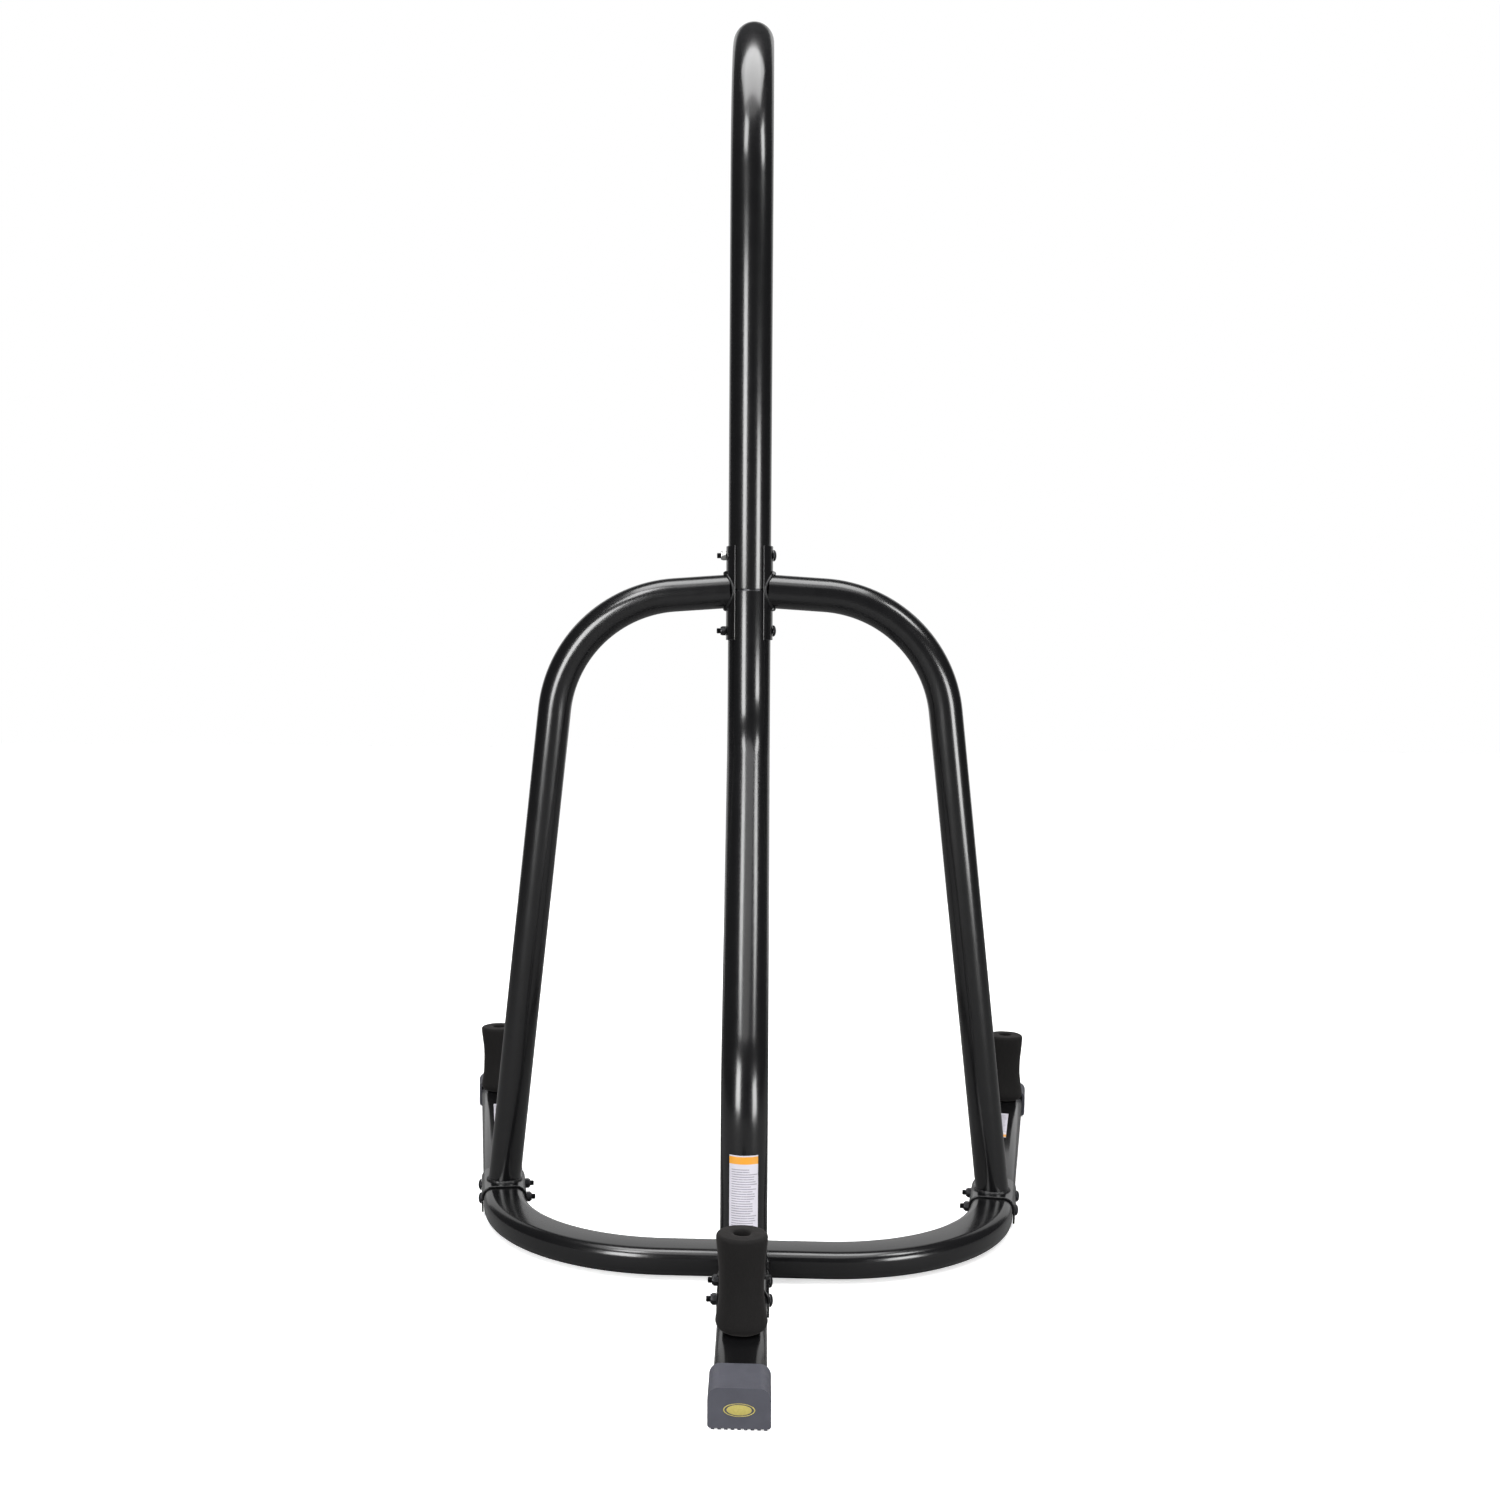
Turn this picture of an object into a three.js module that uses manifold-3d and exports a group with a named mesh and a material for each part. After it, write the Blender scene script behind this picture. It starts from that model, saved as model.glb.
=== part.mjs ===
// Heavy-bag stand: bent two-piece mast, side braces, U-shaped base, three weight pegs and a
// swivel snap hook at the tip of the arm.
// Millimetres, +Z up, +Y towards the hanging side, +X to the right seen from behind the mast.
import * as THREE from 'three';
import { mergeVertices } from 'three/addons/utils/BufferGeometryUtils.js';
import Module from 'manifold-3d';

const wasm = await Module();
wasm.setup();

// ---- driving sizes ----
const MAST_D = 60.3;
const MAST_WALL = 2.4;
const MAST_SIDES = 20;
const BRACE_D = 47.6;
const BRACE_WALL = 2.0;
const BASE_W = 60;
const BASE_H = 37;
const BASE_R = 13;
const BASE_WALL = 2.2;
const BASE_LIFT = 5;
const GAP = 0.3;
const PLATE = 2.6;

const CROSS_Y = -183;
const CORNER_X = 318;
const CORNER_R = 250;
const SPLAY = THREE.MathUtils.degToRad(9.7);
const LEG_PEG_AT = 784;
const LEG_CAP_AT = 43;
const CAP_LEN = 64;
const REAR_END_Y = -636;
const REAR_PEG_Y = -468;

const MAST_FOOT_Y = -284;
const MAST_LOW_Z = 283;
const MAST_HIGH_Z = 720;
const MAST_BEND_R = 190;
const SPLICE_Z = 917;
const NECK_START_Z = 1492;
const NECK_R = 260;
const NECK_TURN = THREE.MathUtils.degToRad(100);
const ARM_LEN = 240;
const SLEEVE_LEN = 176;

const SADDLE_LEN = 94;
const FOOT_PITCH = 64;
const MAST_PLATE_H = 132;
const MAST_PLATE_ARC = THREE.MathUtils.degToRad(53.5);
const MAST_BOLT_RISE = 53;
const BRACE_Z = 913;
const BRACE_ROOT_Z = 917.5;
const BRACE_KNEE_X = 260.7;
const BRACE_KNEE_Z = 900;
const BRACE_BEND_R = 186;
const BRACE_FOOT_AT = 258;
const LEG_SADDLE_AT = 265;

const BOLT_D = 8;
const BOLT_CLEAR = 0.5;
const HEAD_D = 16;
const HEAD_H = 4.6;
const NUT_AF = 13;
const NUT_H = 7.4;
const THREAD_OUT = 13;

const PEG_D = 19;
const PEG_WALL = 2;
const PEG_H = 94;
const FOAM_D = 61.6;
const FOAM_WAIST = 53;
const FOAM_BORE = 20.2;
const FOAM_LEN = 115;
const FOAM_RISE = 0.4;

const CAP_WALL = 3.9;
const RIB_COUNT = 9;
const RIB_PITCH = 7.1;
const RIB_DEPTH = 2.4;

const EYE_FROM_TIP = 40;
const EYE_ROD_D = 10;
const EYE_R = 14;
const EYE_WIRE = 4;
const LINK_R = 13;
const LOOP_R = 11;
const LINK_WIRE = 3.5;
const BARREL_D = 22;
const BARREL_H = 17;
const SHANK_D = 9;
const SHANK_HEAD_D = 14.4;
const HOOK_WIRE = 4.6;
const HOOK_HALF = 15;
const HOOK_DEPTH = 70;
const GATE_PIN_D = 3;

const NOMINAL_FRONT = CROSS_Y + (LEG_PEG_AT + LEG_CAP_AT + CAP_LEN) * Math.cos(SPLAY)
  + (BASE_W / 2 + GAP + CAP_WALL) * Math.sin(SPLAY);
const CENTRE_Y = (NOMINAL_FRONT + REAR_END_Y) / 2;

const BASE_TOP = BASE_LIFT + BASE_H;
const BASE_MID = BASE_LIFT + BASE_H / 2;
const SADDLE_HALF = BASE_W / 2 + GAP + PLATE;
const SADDLE_TOP = BASE_TOP + GAP + PLATE;
const PLATE_OUT = MAST_D / 2 + GAP + PLATE;
const HOLE_D = BOLT_D + BOLT_CLEAR;
// The largest circle that fits the faceted bore of the mast.
const MAST_BORE_R = (MAST_D / 2 - MAST_WALL) * Math.cos(Math.PI / MAST_SIDES);

// ---- materials ----
const FINISH = {
  powder: { color: 0x17181a, roughness: 0.28, metalness: 0.35 },
  zinc: { color: 0x5d6066, roughness: 0.35, metalness: 0.9 },
  foam: { color: 0x242322, roughness: 0.95, metalness: 0 },
  rubber: { color: 0x55565f, roughness: 0.7, metalness: 0 },
  label: { color: 0xcfcdd6, roughness: 0.5, metalness: 0 },
};

// ---- geometry helpers ----
function toSolid(geometry) {
  const bare = new THREE.BufferGeometry();
  bare.setAttribute('position', geometry.getAttribute('position').clone());
  if (geometry.index) {
    bare.setIndex(geometry.index.clone());
  }
  const merged = mergeVertices(bare, 1e-3);
  const mesh = new wasm.Mesh({
    numProp: 3,
    vertProperties: new Float32Array(merged.getAttribute('position').array),
    triVerts: new Uint32Array(merged.index.array),
  });
  return new wasm.Manifold(mesh);
}

function toGeometry(solid) {
  const mesh = solid.getMesh();
  const geometry = new THREE.BufferGeometry();
  geometry.setAttribute('position', new THREE.BufferAttribute(new Float32Array(mesh.vertProperties), 3));
  geometry.setIndex(new THREE.BufferAttribute(new Uint32Array(mesh.triVerts), 1));
  const flat = geometry.toNonIndexed();
  flat.computeVertexNormals();
  return flat;
}

function carve(base, cutters, additions = []) {
  let solid = toSolid(base);
  for (const piece of additions) {
    solid = solid.add(toSolid(piece));
  }
  for (const piece of cutters) {
    solid = solid.subtract(toSolid(piece));
  }
  return toGeometry(solid);
}

// A line of straight runs joined by bends, with the true direction kept at every station.
class BentLine extends THREE.Curve {
  constructor(corners, radii, step) {
    super();
    this.stations = [];
    this.headings = [];
    const push = (point, heading) => {
      this.stations.push(point);
      this.headings.push(heading.clone().normalize());
    };
    const first = corners[1].clone().sub(corners[0]);
    push(corners[0].clone(), first);
    for (let i = 1; i < corners.length - 1; i += 1) {
      const into = corners[i].clone().sub(corners[i - 1]).normalize();
      const out = corners[i + 1].clone().sub(corners[i]).normalize();
      const turn = into.angleTo(out);
      const reach = radii[i - 1] * Math.tan(turn / 2);
      const start = corners[i].clone().addScaledVector(into, -reach);
      const axis = into.clone().cross(out).normalize();
      const side = axis.clone().cross(into);
      const centre = start.clone().addScaledVector(side, radii[i - 1]);
      const count = Math.max(2, Math.ceil(turn / step));
      for (let k = 0; k <= count; k += 1) {
        const angle = turn * k / count;
        const arm = side.clone().multiplyScalar(-radii[i - 1]).applyAxisAngle(axis, angle);
        push(centre.clone().add(arm), into.clone().applyAxisAngle(axis, angle));
      }
    }
    const last = corners.length - 1;
    push(corners[last].clone(), corners[last].clone().sub(corners[last - 1]));
    this.count = this.stations.length;
  }

  index(t) {
    return Math.min(this.count - 1, Math.max(0, Math.round(t * (this.count - 1))));
  }

  getPoint(t) {
    return this.stations[this.index(t)].clone();
  }

  getPointAt(t) {
    return this.getPoint(t);
  }

  getTangentAt(t) {
    return this.headings[this.index(t)].clone();
  }

  getSpacedPoints() {
    return this.stations.map((point) => point.clone());
  }
}

function circlePoints(radius, count) {
  const points = [];
  for (let i = 0; i < count; i += 1) {
    const angle = 2 * Math.PI * i / count;
    points.push(new THREE.Vector2(radius * Math.cos(angle), radius * Math.sin(angle)));
  }
  return points;
}

// Rounded box section centred on the origin: width along the first axis, height along the second.
function boxPoints(width, height, radius, perCorner, lowRadius = radius) {
  const points = [];
  const corners = [[1, 1, radius], [-1, 1, radius], [-1, -1, lowRadius], [1, -1, lowRadius]];
  corners.forEach(([sx, sy, r], corner) => {
    for (let k = 0; k <= perCorner; k += 1) {
      const angle = (corner + k / perCorner) * Math.PI / 2;
      points.push(new THREE.Vector2(
        sx * (width / 2 - r) + r * Math.cos(angle),
        sy * (height / 2 - r) + r * Math.sin(angle),
      ));
    }
  });
  return points;
}

function sweep(outer, inner, line) {
  const shape = new THREE.Shape(outer);
  if (inner) {
    shape.holes.push(new THREE.Path(inner));
  }
  return new THREE.ExtrudeGeometry(shape, { steps: line.count - 1, extrudePath: line, bevelEnabled: false });
}

function pipe(diameter, wall, sides, line) {
  const inner = wall ? circlePoints(diameter / 2 - wall, sides) : null;
  return sweep(circlePoints(diameter / 2, sides), inner, line);
}

// Base tube section along a level line; the section is turned so its width stays level.
function baseTube(line) {
  const turned = (points) => points.map((p) => new THREE.Vector2(p.y, p.x)).reverse();
  const outer = turned(boxPoints(BASE_W, BASE_H, BASE_R, 2));
  const inner = turned(boxPoints(BASE_W - 2 * BASE_WALL, BASE_H - 2 * BASE_WALL, BASE_R - BASE_WALL, 2));
  return sweep(outer, inner, line);
}

// Straight prism along +Y from y0 to y1, its section drawn as (x, z).
function prism(points, y0, y1, hole = null) {
  const shape = new THREE.Shape(points);
  if (hole) {
    shape.holes.push(new THREE.Path(hole));
  }
  const geometry = new THREE.ExtrudeGeometry(shape, { depth: y1 - y0, bevelEnabled: false });
  geometry.rotateX(Math.PI / 2);
  geometry.translate(0, y1, 0);
  return geometry;
}

function shifted(points, dx, dy) {
  return points.map((p) => new THREE.Vector2(p.x + dx, p.y + dy));
}

function rod(diameter, from, to, sides = 16) {
  const line = to.clone().sub(from);
  const geometry = new THREE.CylinderGeometry(diameter / 2, diameter / 2, line.length(), sides);
  const turn = new THREE.Quaternion().setFromUnitVectors(new THREE.Vector3(0, 1, 0), line.clone().normalize());
  geometry.applyQuaternion(turn);
  const middle = from.clone().add(to).multiplyScalar(0.5);
  return geometry.translate(middle.x, middle.y, middle.z);
}

function lathe(profile, sides = 32) {
  const geometry = new THREE.LatheGeometry(profile.map(([r, z]) => new THREE.Vector2(r, z)), sides);
  return geometry.rotateX(Math.PI / 2);
}

const v3 = (x, y, z) => new THREE.Vector3(x, y, z);
const inFrame = (geometry) => geometry.translate(0, -CENTRE_Y, 0);

// Place along a side leg: side is -1 left or +1 right, along is measured from the base corner.
function legPoint(side, along, z = 0) {
  return v3(side * (CORNER_X + along * Math.sin(SPLAY)), CROSS_Y + along * Math.cos(SPLAY), z);
}

function onLeg(geometry, side, along) {
  const at = legPoint(side, along);
  return geometry.rotateZ(-side * SPLAY).translate(at.x, at.y, at.z);
}

function onRear(geometry, y) {
  return geometry.rotateZ(Math.PI).translate(0, y, 0);
}

const model = new THREE.Group();
model.name = 'heavy_bag_stand';

function add(name, geometry, finish) {
  const bare = toGeometry(toSolid(inFrame(geometry)));
  const mesh = new THREE.Mesh(bare, new THREE.MeshStandardMaterial({ ...FINISH[finish], name: finish }));
  mesh.name = name;
  model.add(mesh);
}

// ---- mast ----
const armWay = v3(0, Math.sin(NECK_TURN), Math.cos(NECK_TURN));
const neckReach = NECK_R * Math.tan(NECK_TURN / 2);
const neckCorner = v3(0, 0, NECK_START_Z + neckReach);
const armTip = neckCorner.clone().addScaledVector(armWay, neckReach + ARM_LEN);
const eyeAt = neckCorner.clone().addScaledVector(armWay, neckReach + ARM_LEN - EYE_FROM_TIP);
const armHalf = MAST_D / 2 / Math.sin(NECK_TURN);

const crossHole = (z, y = 0) => rod(HOLE_D, v3(-60, y, z), v3(60, y, z));

const upperLine = new BentLine([v3(0, 0, SPLICE_Z + GAP / 2), neckCorner, armTip], [NECK_R], 0.16);
const eyeHole = rod(EYE_ROD_D + BOLT_CLEAR, eyeAt.clone().setZ(eyeAt.z - 60), eyeAt.clone().setZ(eyeAt.z + 60));
add('upper_mast', carve(pipe(MAST_D, MAST_WALL, MAST_SIDES, upperLine), [
  crossHole(BRACE_Z + MAST_BOLT_RISE),
  eyeHole,
]), 'powder');

const saddleBlock = (offset, y0, y1) => prism(
  shifted(
    boxPoints(2 * (SADDLE_HALF + offset), SADDLE_TOP + offset + 20, BASE_R + GAP + PLATE, 4, 2),
    0,
    (SADDLE_TOP + offset - 20) / 2,
  ),
  y0,
  y1,
);

const lowerLine = new BentLine([
  v3(0, MAST_FOOT_Y, BASE_MID + 8),
  v3(0, MAST_FOOT_Y, MAST_LOW_Z),
  v3(0, 0, MAST_HIGH_Z),
  v3(0, 0, SPLICE_Z - GAP / 2),
], [MAST_BEND_R, MAST_BEND_R], 0.15);
add('lower_mast', carve(pipe(MAST_D, MAST_WALL, MAST_SIDES, lowerLine), [
  crossHole(BRACE_Z - MAST_BOLT_RISE),
  saddleBlock(GAP, MAST_FOOT_Y - 60, MAST_FOOT_Y + 60),
]), 'powder');

const sleeveD = 2 * (MAST_BORE_R - GAP);
const sleeveLine = new BentLine([
  v3(0, 0, BRACE_Z - SLEEVE_LEN / 2),
  v3(0, 0, BRACE_Z + SLEEVE_LEN / 2),
], [], 1);
add('mast_splice_sleeve', carve(pipe(sleeveD, 2, MAST_SIDES, sleeveLine), [
  crossHole(BRACE_Z + MAST_BOLT_RISE),
  crossHole(BRACE_Z - MAST_BOLT_RISE),
]), 'zinc');

// ---- curved plates at the splice ----
function mastPlate(side) {
  const middle = side > 0 ? 0 : Math.PI;
  const points = [];
  const count = 8;
  for (let k = 0; k <= count; k += 1) {
    const angle = middle - MAST_PLATE_ARC + 2 * MAST_PLATE_ARC * k / count;
    points.push(new THREE.Vector2(PLATE_OUT * Math.cos(angle), PLATE_OUT * Math.sin(angle)));
  }
  for (let k = count; k >= 0; k -= 1) {
    const angle = middle - MAST_PLATE_ARC + 2 * MAST_PLATE_ARC * k / count;
    const r = PLATE_OUT - PLATE;
    points.push(new THREE.Vector2(r * Math.cos(angle), r * Math.sin(angle)));
  }
  const geometry = new THREE.ExtrudeGeometry(new THREE.Shape(points), {
    depth: MAST_PLATE_H,
    bevelEnabled: false,
  });
  geometry.translate(0, 0, BRACE_Z - MAST_PLATE_H / 2);
  return carve(geometry, [
    crossHole(BRACE_Z + MAST_BOLT_RISE),
    crossHole(BRACE_Z - MAST_BOLT_RISE),
  ]);
}

// ---- inverted-U saddles over the base tube ----
const saddleR = BASE_R + GAP + PLATE;
function saddle(length, pitch) {
  const outer = boxPoints(2 * SADDLE_HALF, SADDLE_TOP + 20, saddleR, 4, 2);
  const inner = boxPoints(BASE_W + 2 * GAP, BASE_TOP + GAP + 20, BASE_R + GAP, 4, 2);
  const body = prism(shifted(outer, 0, (SADDLE_TOP - 20) / 2), -length / 2, length / 2);
  const hollow = prism(shifted(inner, 0, (BASE_TOP + GAP - 20) / 2), -length, length);
  const below = prism(shifted(boxPoints(120, 60, 2, 1), 0, BASE_LIFT + 2 - 30), -length, length);
  const holes = [-1, 1].map((end) => rod(
    HOLE_D,
    v3(-60, end * pitch / 2, BASE_MID),
    v3(60, end * pitch / 2, BASE_MID),
  ));
  return carve(body, [hollow, below, ...holes]);
}

const legSaddleAt = LEG_SADDLE_AT;
const rearSaddleY = MAST_FOOT_Y - 12;

// ---- base tubes ----
const uLine = new BentLine([
  legPoint(-1, legSaddleAt - GAP / 2, BASE_MID),
  v3(-CORNER_X, CROSS_Y, BASE_MID),
  v3(CORNER_X, CROSS_Y, BASE_MID),
  legPoint(1, legSaddleAt - GAP / 2, BASE_MID),
], [CORNER_R, CORNER_R], 0.18);

function legHole(side, offset) {
  const turn = v3(Math.cos(SPLAY), -side * Math.sin(SPLAY), 0);
  const at = legPoint(side, legSaddleAt + offset, BASE_MID);
  return rod(HOLE_D, at.clone().addScaledVector(turn, -50), at.clone().addScaledVector(turn, 50));
}

add('base_crossbar', carve(baseTube(uLine), [
  legHole(-1, -FOOT_PITCH / 2),
  legHole(1, -FOOT_PITCH / 2),
]), 'powder');

const legEnd = LEG_PEG_AT + LEG_CAP_AT + CAP_LEN;
const capWallEnd = 5;
for (const [word, side] of [['left', -1], ['right', 1]]) {
  const line = new BentLine([
    legPoint(side, legSaddleAt + GAP / 2, BASE_MID),
    legPoint(side, legEnd - capWallEnd - GAP, BASE_MID),
  ], [], 1);
  add(`${word}_leg`, carve(baseTube(line), [legHole(side, FOOT_PITCH / 2)]), 'powder');
  add(`${word}_brace_foot_saddle`, onLeg(saddle(SADDLE_LEN, FOOT_PITCH), side, legSaddleAt), 'powder');
  add(`${word}_mast_plate`, mastPlate(side), 'powder');

  const foot = legPoint(side, BRACE_FOOT_AT, BASE_MID + 8);
  const braceLine = new BentLine([
    v3(side * 10, 0, BRACE_ROOT_Z),
    v3(side * BRACE_KNEE_X, 0, BRACE_KNEE_Z),
    foot,
  ], [BRACE_BEND_R], 0.17);
  add(`${word}_brace`, carve(pipe(BRACE_D, BRACE_WALL, 18, braceLine), [
    rod(2 * (PLATE_OUT + GAP), v3(0, 0, BRACE_Z - 60), v3(0, 0, BRACE_Z + 60), 24),
    onLeg(saddleBlock(GAP, -60, 60), side, BRACE_FOOT_AT),
  ]), 'powder');
}

const stubLine = new BentLine([
  v3(0, CROSS_Y - BASE_W / 2 - GAP, BASE_MID),
  v3(0, rearSaddleY + GAP / 2, BASE_MID),
], [], 1);
const rearLine = new BentLine([
  v3(0, rearSaddleY - GAP / 2, BASE_MID),
  v3(0, REAR_END_Y + capWallEnd + GAP, BASE_MID),
], [], 1);
add('rear_stub', carve(baseTube(stubLine), [crossHole(BASE_MID, rearSaddleY + FOOT_PITCH / 2)]), 'powder');
add('rear_leg', carve(baseTube(rearLine), [crossHole(BASE_MID, rearSaddleY - FOOT_PITCH / 2)]), 'powder');
add('mast_foot_saddle', onRear(saddle(SADDLE_LEN, FOOT_PITCH), rearSaddleY), 'powder');

// ---- bolts, heads towards +X, and their lock nuts ----
function bolt(reach) {
  const r = BOLT_D / 2;
  const profile = [[0, -reach - THREAD_OUT], [r - 0.6, -reach - THREAD_OUT], [r, -reach - THREAD_OUT + 0.6]];
  profile.push([r, reach + GAP], [HEAD_D / 2, reach + GAP]);
  const rise = 3;
  for (let k = 0; k <= rise; k += 1) {
    const angle = k / rise * Math.PI / 2;
    const z = reach + GAP + 0.8 + (HEAD_H - 0.8) * Math.sin(angle);
    profile.push([k === rise ? 0 : HEAD_D / 2 * Math.cos(angle), z]);
  }
  return lathe(profile, 12).rotateY(Math.PI / 2);
}

function nut(reach) {
  const hexR = NUT_AF / Math.sqrt(3);
  const hex = new THREE.CylinderGeometry(hexR, hexR, NUT_H - 2, 6).rotateZ(Math.PI / 2);
  hex.translate(-reach - GAP - (NUT_H - 2) / 2, 0, 0);
  const collar = rod(NUT_AF - 1.4, v3(-reach - GAP - 1, 0, 0), v3(-reach - GAP - NUT_H, 0, 0), 16);
  const bore = rod(BOLT_D + 0.4, v3(-reach + 5, 0, 0), v3(-reach - 20, 0, 0), 12);
  return carve(hex, [bore], [collar]);
}

for (const [word, rise] of [['upper', MAST_BOLT_RISE], ['lower', -MAST_BOLT_RISE]]) {
  add(`mast_bolt_${word}`, bolt(PLATE_OUT).translate(0, 0, BRACE_Z + rise), 'zinc');
  add(`mast_nut_${word}`, nut(PLATE_OUT).translate(0, 0, BRACE_Z + rise), 'zinc');
}
for (const [word, offset] of [['front', FOOT_PITCH / 2], ['rear', -FOOT_PITCH / 2]]) {
  add(`mast_foot_bolt_${word}`, bolt(SADDLE_HALF).translate(0, rearSaddleY + offset, BASE_MID), 'zinc');
  add(`mast_foot_nut_${word}`, nut(SADDLE_HALF).translate(0, rearSaddleY + offset, BASE_MID), 'zinc');
  for (const [hand, side] of [['left', -1], ['right', 1]]) {
    for (const [kind, make] of [['bolt', bolt], ['nut', nut]]) {
      const piece = make(SADDLE_HALF);
      if (side < 0) {
        piece.rotateZ(Math.PI);
      }
      piece.translate(0, 0, BASE_MID);
      add(`${hand}_brace_${kind}_${word}`, onLeg(piece, side, legSaddleAt + offset), 'zinc');
    }
  }
}

// ---- weight pegs and foam sleeves ----
function peg() {
  const outer = PEG_D / 2;
  const inner = outer - PEG_WALL;
  return lathe([[inner, 0], [outer, 0], [outer, PEG_H - 1], [outer - 1, PEG_H], [inner, PEG_H], [inner, 0]], 16);
}

function foam() {
  const bore = FOAM_BORE / 2;
  const ends = FOAM_D / 2;
  const waist = FOAM_WAIST / 2;
  const round = 9;
  const profile = [[bore, 0]];
  const arc = (z, from, sign) => {
    for (let k = 0; k <= 3; k += 1) {
      const angle = (from + k / 3) * Math.PI / 2;
      profile.push([ends - round + round * Math.cos(angle), z + round * Math.sin(angle) * sign]);
    }
  };
  arc(round, 3, 1);
  profile.push([waist + 0.9, FOAM_LEN * 0.36], [waist, FOAM_LEN * 0.56], [waist + 1.2, FOAM_LEN * 0.76]);
  arc(FOAM_LEN - round, 0, 1);
  profile.push([bore, FOAM_LEN], [bore, 0]);
  return lathe(profile, 18);
}

// ---- ribbed foot caps: local +Y points out of the tube end, the end face at y = 0 ----
function footCap() {
  const width = BASE_W + 2 * (GAP + CAP_WALL);
  const height = BASE_TOP + GAP + CAP_WALL;
  const outer = shifted(boxPoints(width, height, BASE_R + GAP + CAP_WALL - 4, 5, 3), 0, height / 2);
  const cuts = [prism(
    shifted(boxPoints(BASE_W + 2 * GAP, BASE_H + 2 * GAP, BASE_R + GAP, 4), 0, BASE_MID),
    -CAP_LEN - 10,
    -capWallEnd,
  )];
  for (let k = 0; k < RIB_COUNT - 1; k += 1) {
    const x = (k - (RIB_COUNT - 2) / 2) * RIB_PITCH;
    cuts.push(prism(shifted(boxPoints(RIB_PITCH / 2, 2 * RIB_DEPTH, 0.6, 1), x, 0), -CAP_LEN - 10, 10));
  }
  return carve(prism(outer, -CAP_LEN, 0), cuts);
}

function flatLabel(width, from, to) {
  return prism(shifted(boxPoints(width, 0.5, 0.1, 1), 0, BASE_TOP + 0.45), from, to);
}

for (const [word, side] of [['left', -1], ['right', 1]]) {
  add(`${word}_weight_peg`, onLeg(peg().translate(0, 0, BASE_TOP + GAP), side, LEG_PEG_AT), 'powder');
  add(`${word}_foam_sleeve`, onLeg(foam().translate(0, 0, BASE_TOP + FOAM_RISE), side, LEG_PEG_AT), 'foam');
  add(`${word}_foot_cap`, onLeg(footCap(), side, legEnd), 'rubber');
  add(`${word}_leg_label`, onLeg(flatLabel(21, -245, -100), side, LEG_PEG_AT), 'label');
}
add('rear_weight_peg', onRear(peg().translate(0, 0, BASE_TOP + GAP), REAR_PEG_Y), 'powder');
add('rear_foam_sleeve', onRear(foam().translate(0, 0, BASE_TOP + FOAM_RISE), REAR_PEG_Y), 'foam');
add('rear_foot_cap', onRear(footCap(), REAR_END_Y), 'rubber');

// Curved label wrapped on the rear of the lower mast.
function mastLabel() {
  const spread = THREE.MathUtils.degToRad(37);
  const points = [];
  const r0 = MAST_D / 2 + 0.2;
  for (const [r, back] of [[r0 + 0.5, false], [r0, true]]) {
    for (let k = 0; k <= 8; k += 1) {
      const angle = -Math.PI / 2 + spread * (back ? 1 - k / 4 : k / 4 - 1);
      points.push(new THREE.Vector2(r * Math.cos(angle), r * Math.sin(angle)));
    }
  }
  const geometry = new THREE.ExtrudeGeometry(new THREE.Shape(points), { depth: 105, bevelEnabled: false });
  return geometry.translate(0, MAST_FOOT_Y, 96);
}
add('mast_label', mastLabel(), 'label');

// ---- arm tip plug ----
function tipPlug() {
  const lip = MAST_D / 2 + 0.6;
  const core = MAST_BORE_R - GAP;
  const profile = [[0, -22], [core - 2, -22], [core, -19], [core, 0], [lip, 0]];
  for (let k = 0; k <= 5; k += 1) {
    const angle = k / 5 * Math.PI / 2;
    profile.push([k === 5 ? 0 : lip * Math.cos(angle), 2 + 7 * Math.sin(angle)]);
  }
  return lathe(profile, 18);
}
const alongArm = new THREE.Quaternion().setFromUnitVectors(v3(0, 0, 1), armWay);
add('arm_tip_plug', tipPlug()
  .applyQuaternion(alongArm)
  .translate(armTip.x, armTip.y + GAP * armWay.y, armTip.z + GAP * armWay.z), 'rubber');

// ---- eye bolt, its nut, the swivel and the snap hook; local origin on the eye bolt axis ----
const slopeRise = 2.1;
const nutSeat = eyeAt.z + armHalf + slopeRise;
const collarTop = eyeAt.z - armHalf - slopeRise;
const eyeZ = collarTop - 4 - EYE_R - EYE_WIRE + 1;
const nutH = 8;

function ring(radius, wire, sides = 20) {
  return new THREE.TorusGeometry(radius, wire, 8, sides);
}

const eyeRod = lathe([
  [0, eyeZ + EYE_R],
  [EYE_ROD_D / 2, eyeZ + EYE_R],
  [EYE_ROD_D / 2, collarTop - 4],
  [10, collarTop - 4],
  [10, collarTop],
  [EYE_ROD_D / 2, collarTop],
  [EYE_ROD_D / 2, nutSeat + nutH + 5],
  [EYE_ROD_D / 2 - 1, nutSeat + nutH + 6],
  [0, nutSeat + nutH + 6],
], 20);
const eyeLoop = ring(EYE_R, EYE_WIRE).rotateY(Math.PI / 2).translate(0, 0, eyeZ);
add('eye_bolt', carve(eyeRod, [], [eyeLoop]).translate(0, eyeAt.y, 0), 'zinc');

const eyeNut = new THREE.CylinderGeometry(17 / Math.sqrt(3), 17 / Math.sqrt(3), nutH, 6).rotateX(Math.PI / 2);
eyeNut.translate(0, 0, nutSeat + GAP + nutH / 2);
add('eye_bolt_nut', carve(eyeNut, [
  rod(EYE_ROD_D + 0.4, v3(0, 0, nutSeat - 5), v3(0, 0, nutSeat + 30), 20),
]).translate(0, eyeAt.y, 0), 'zinc');

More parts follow.
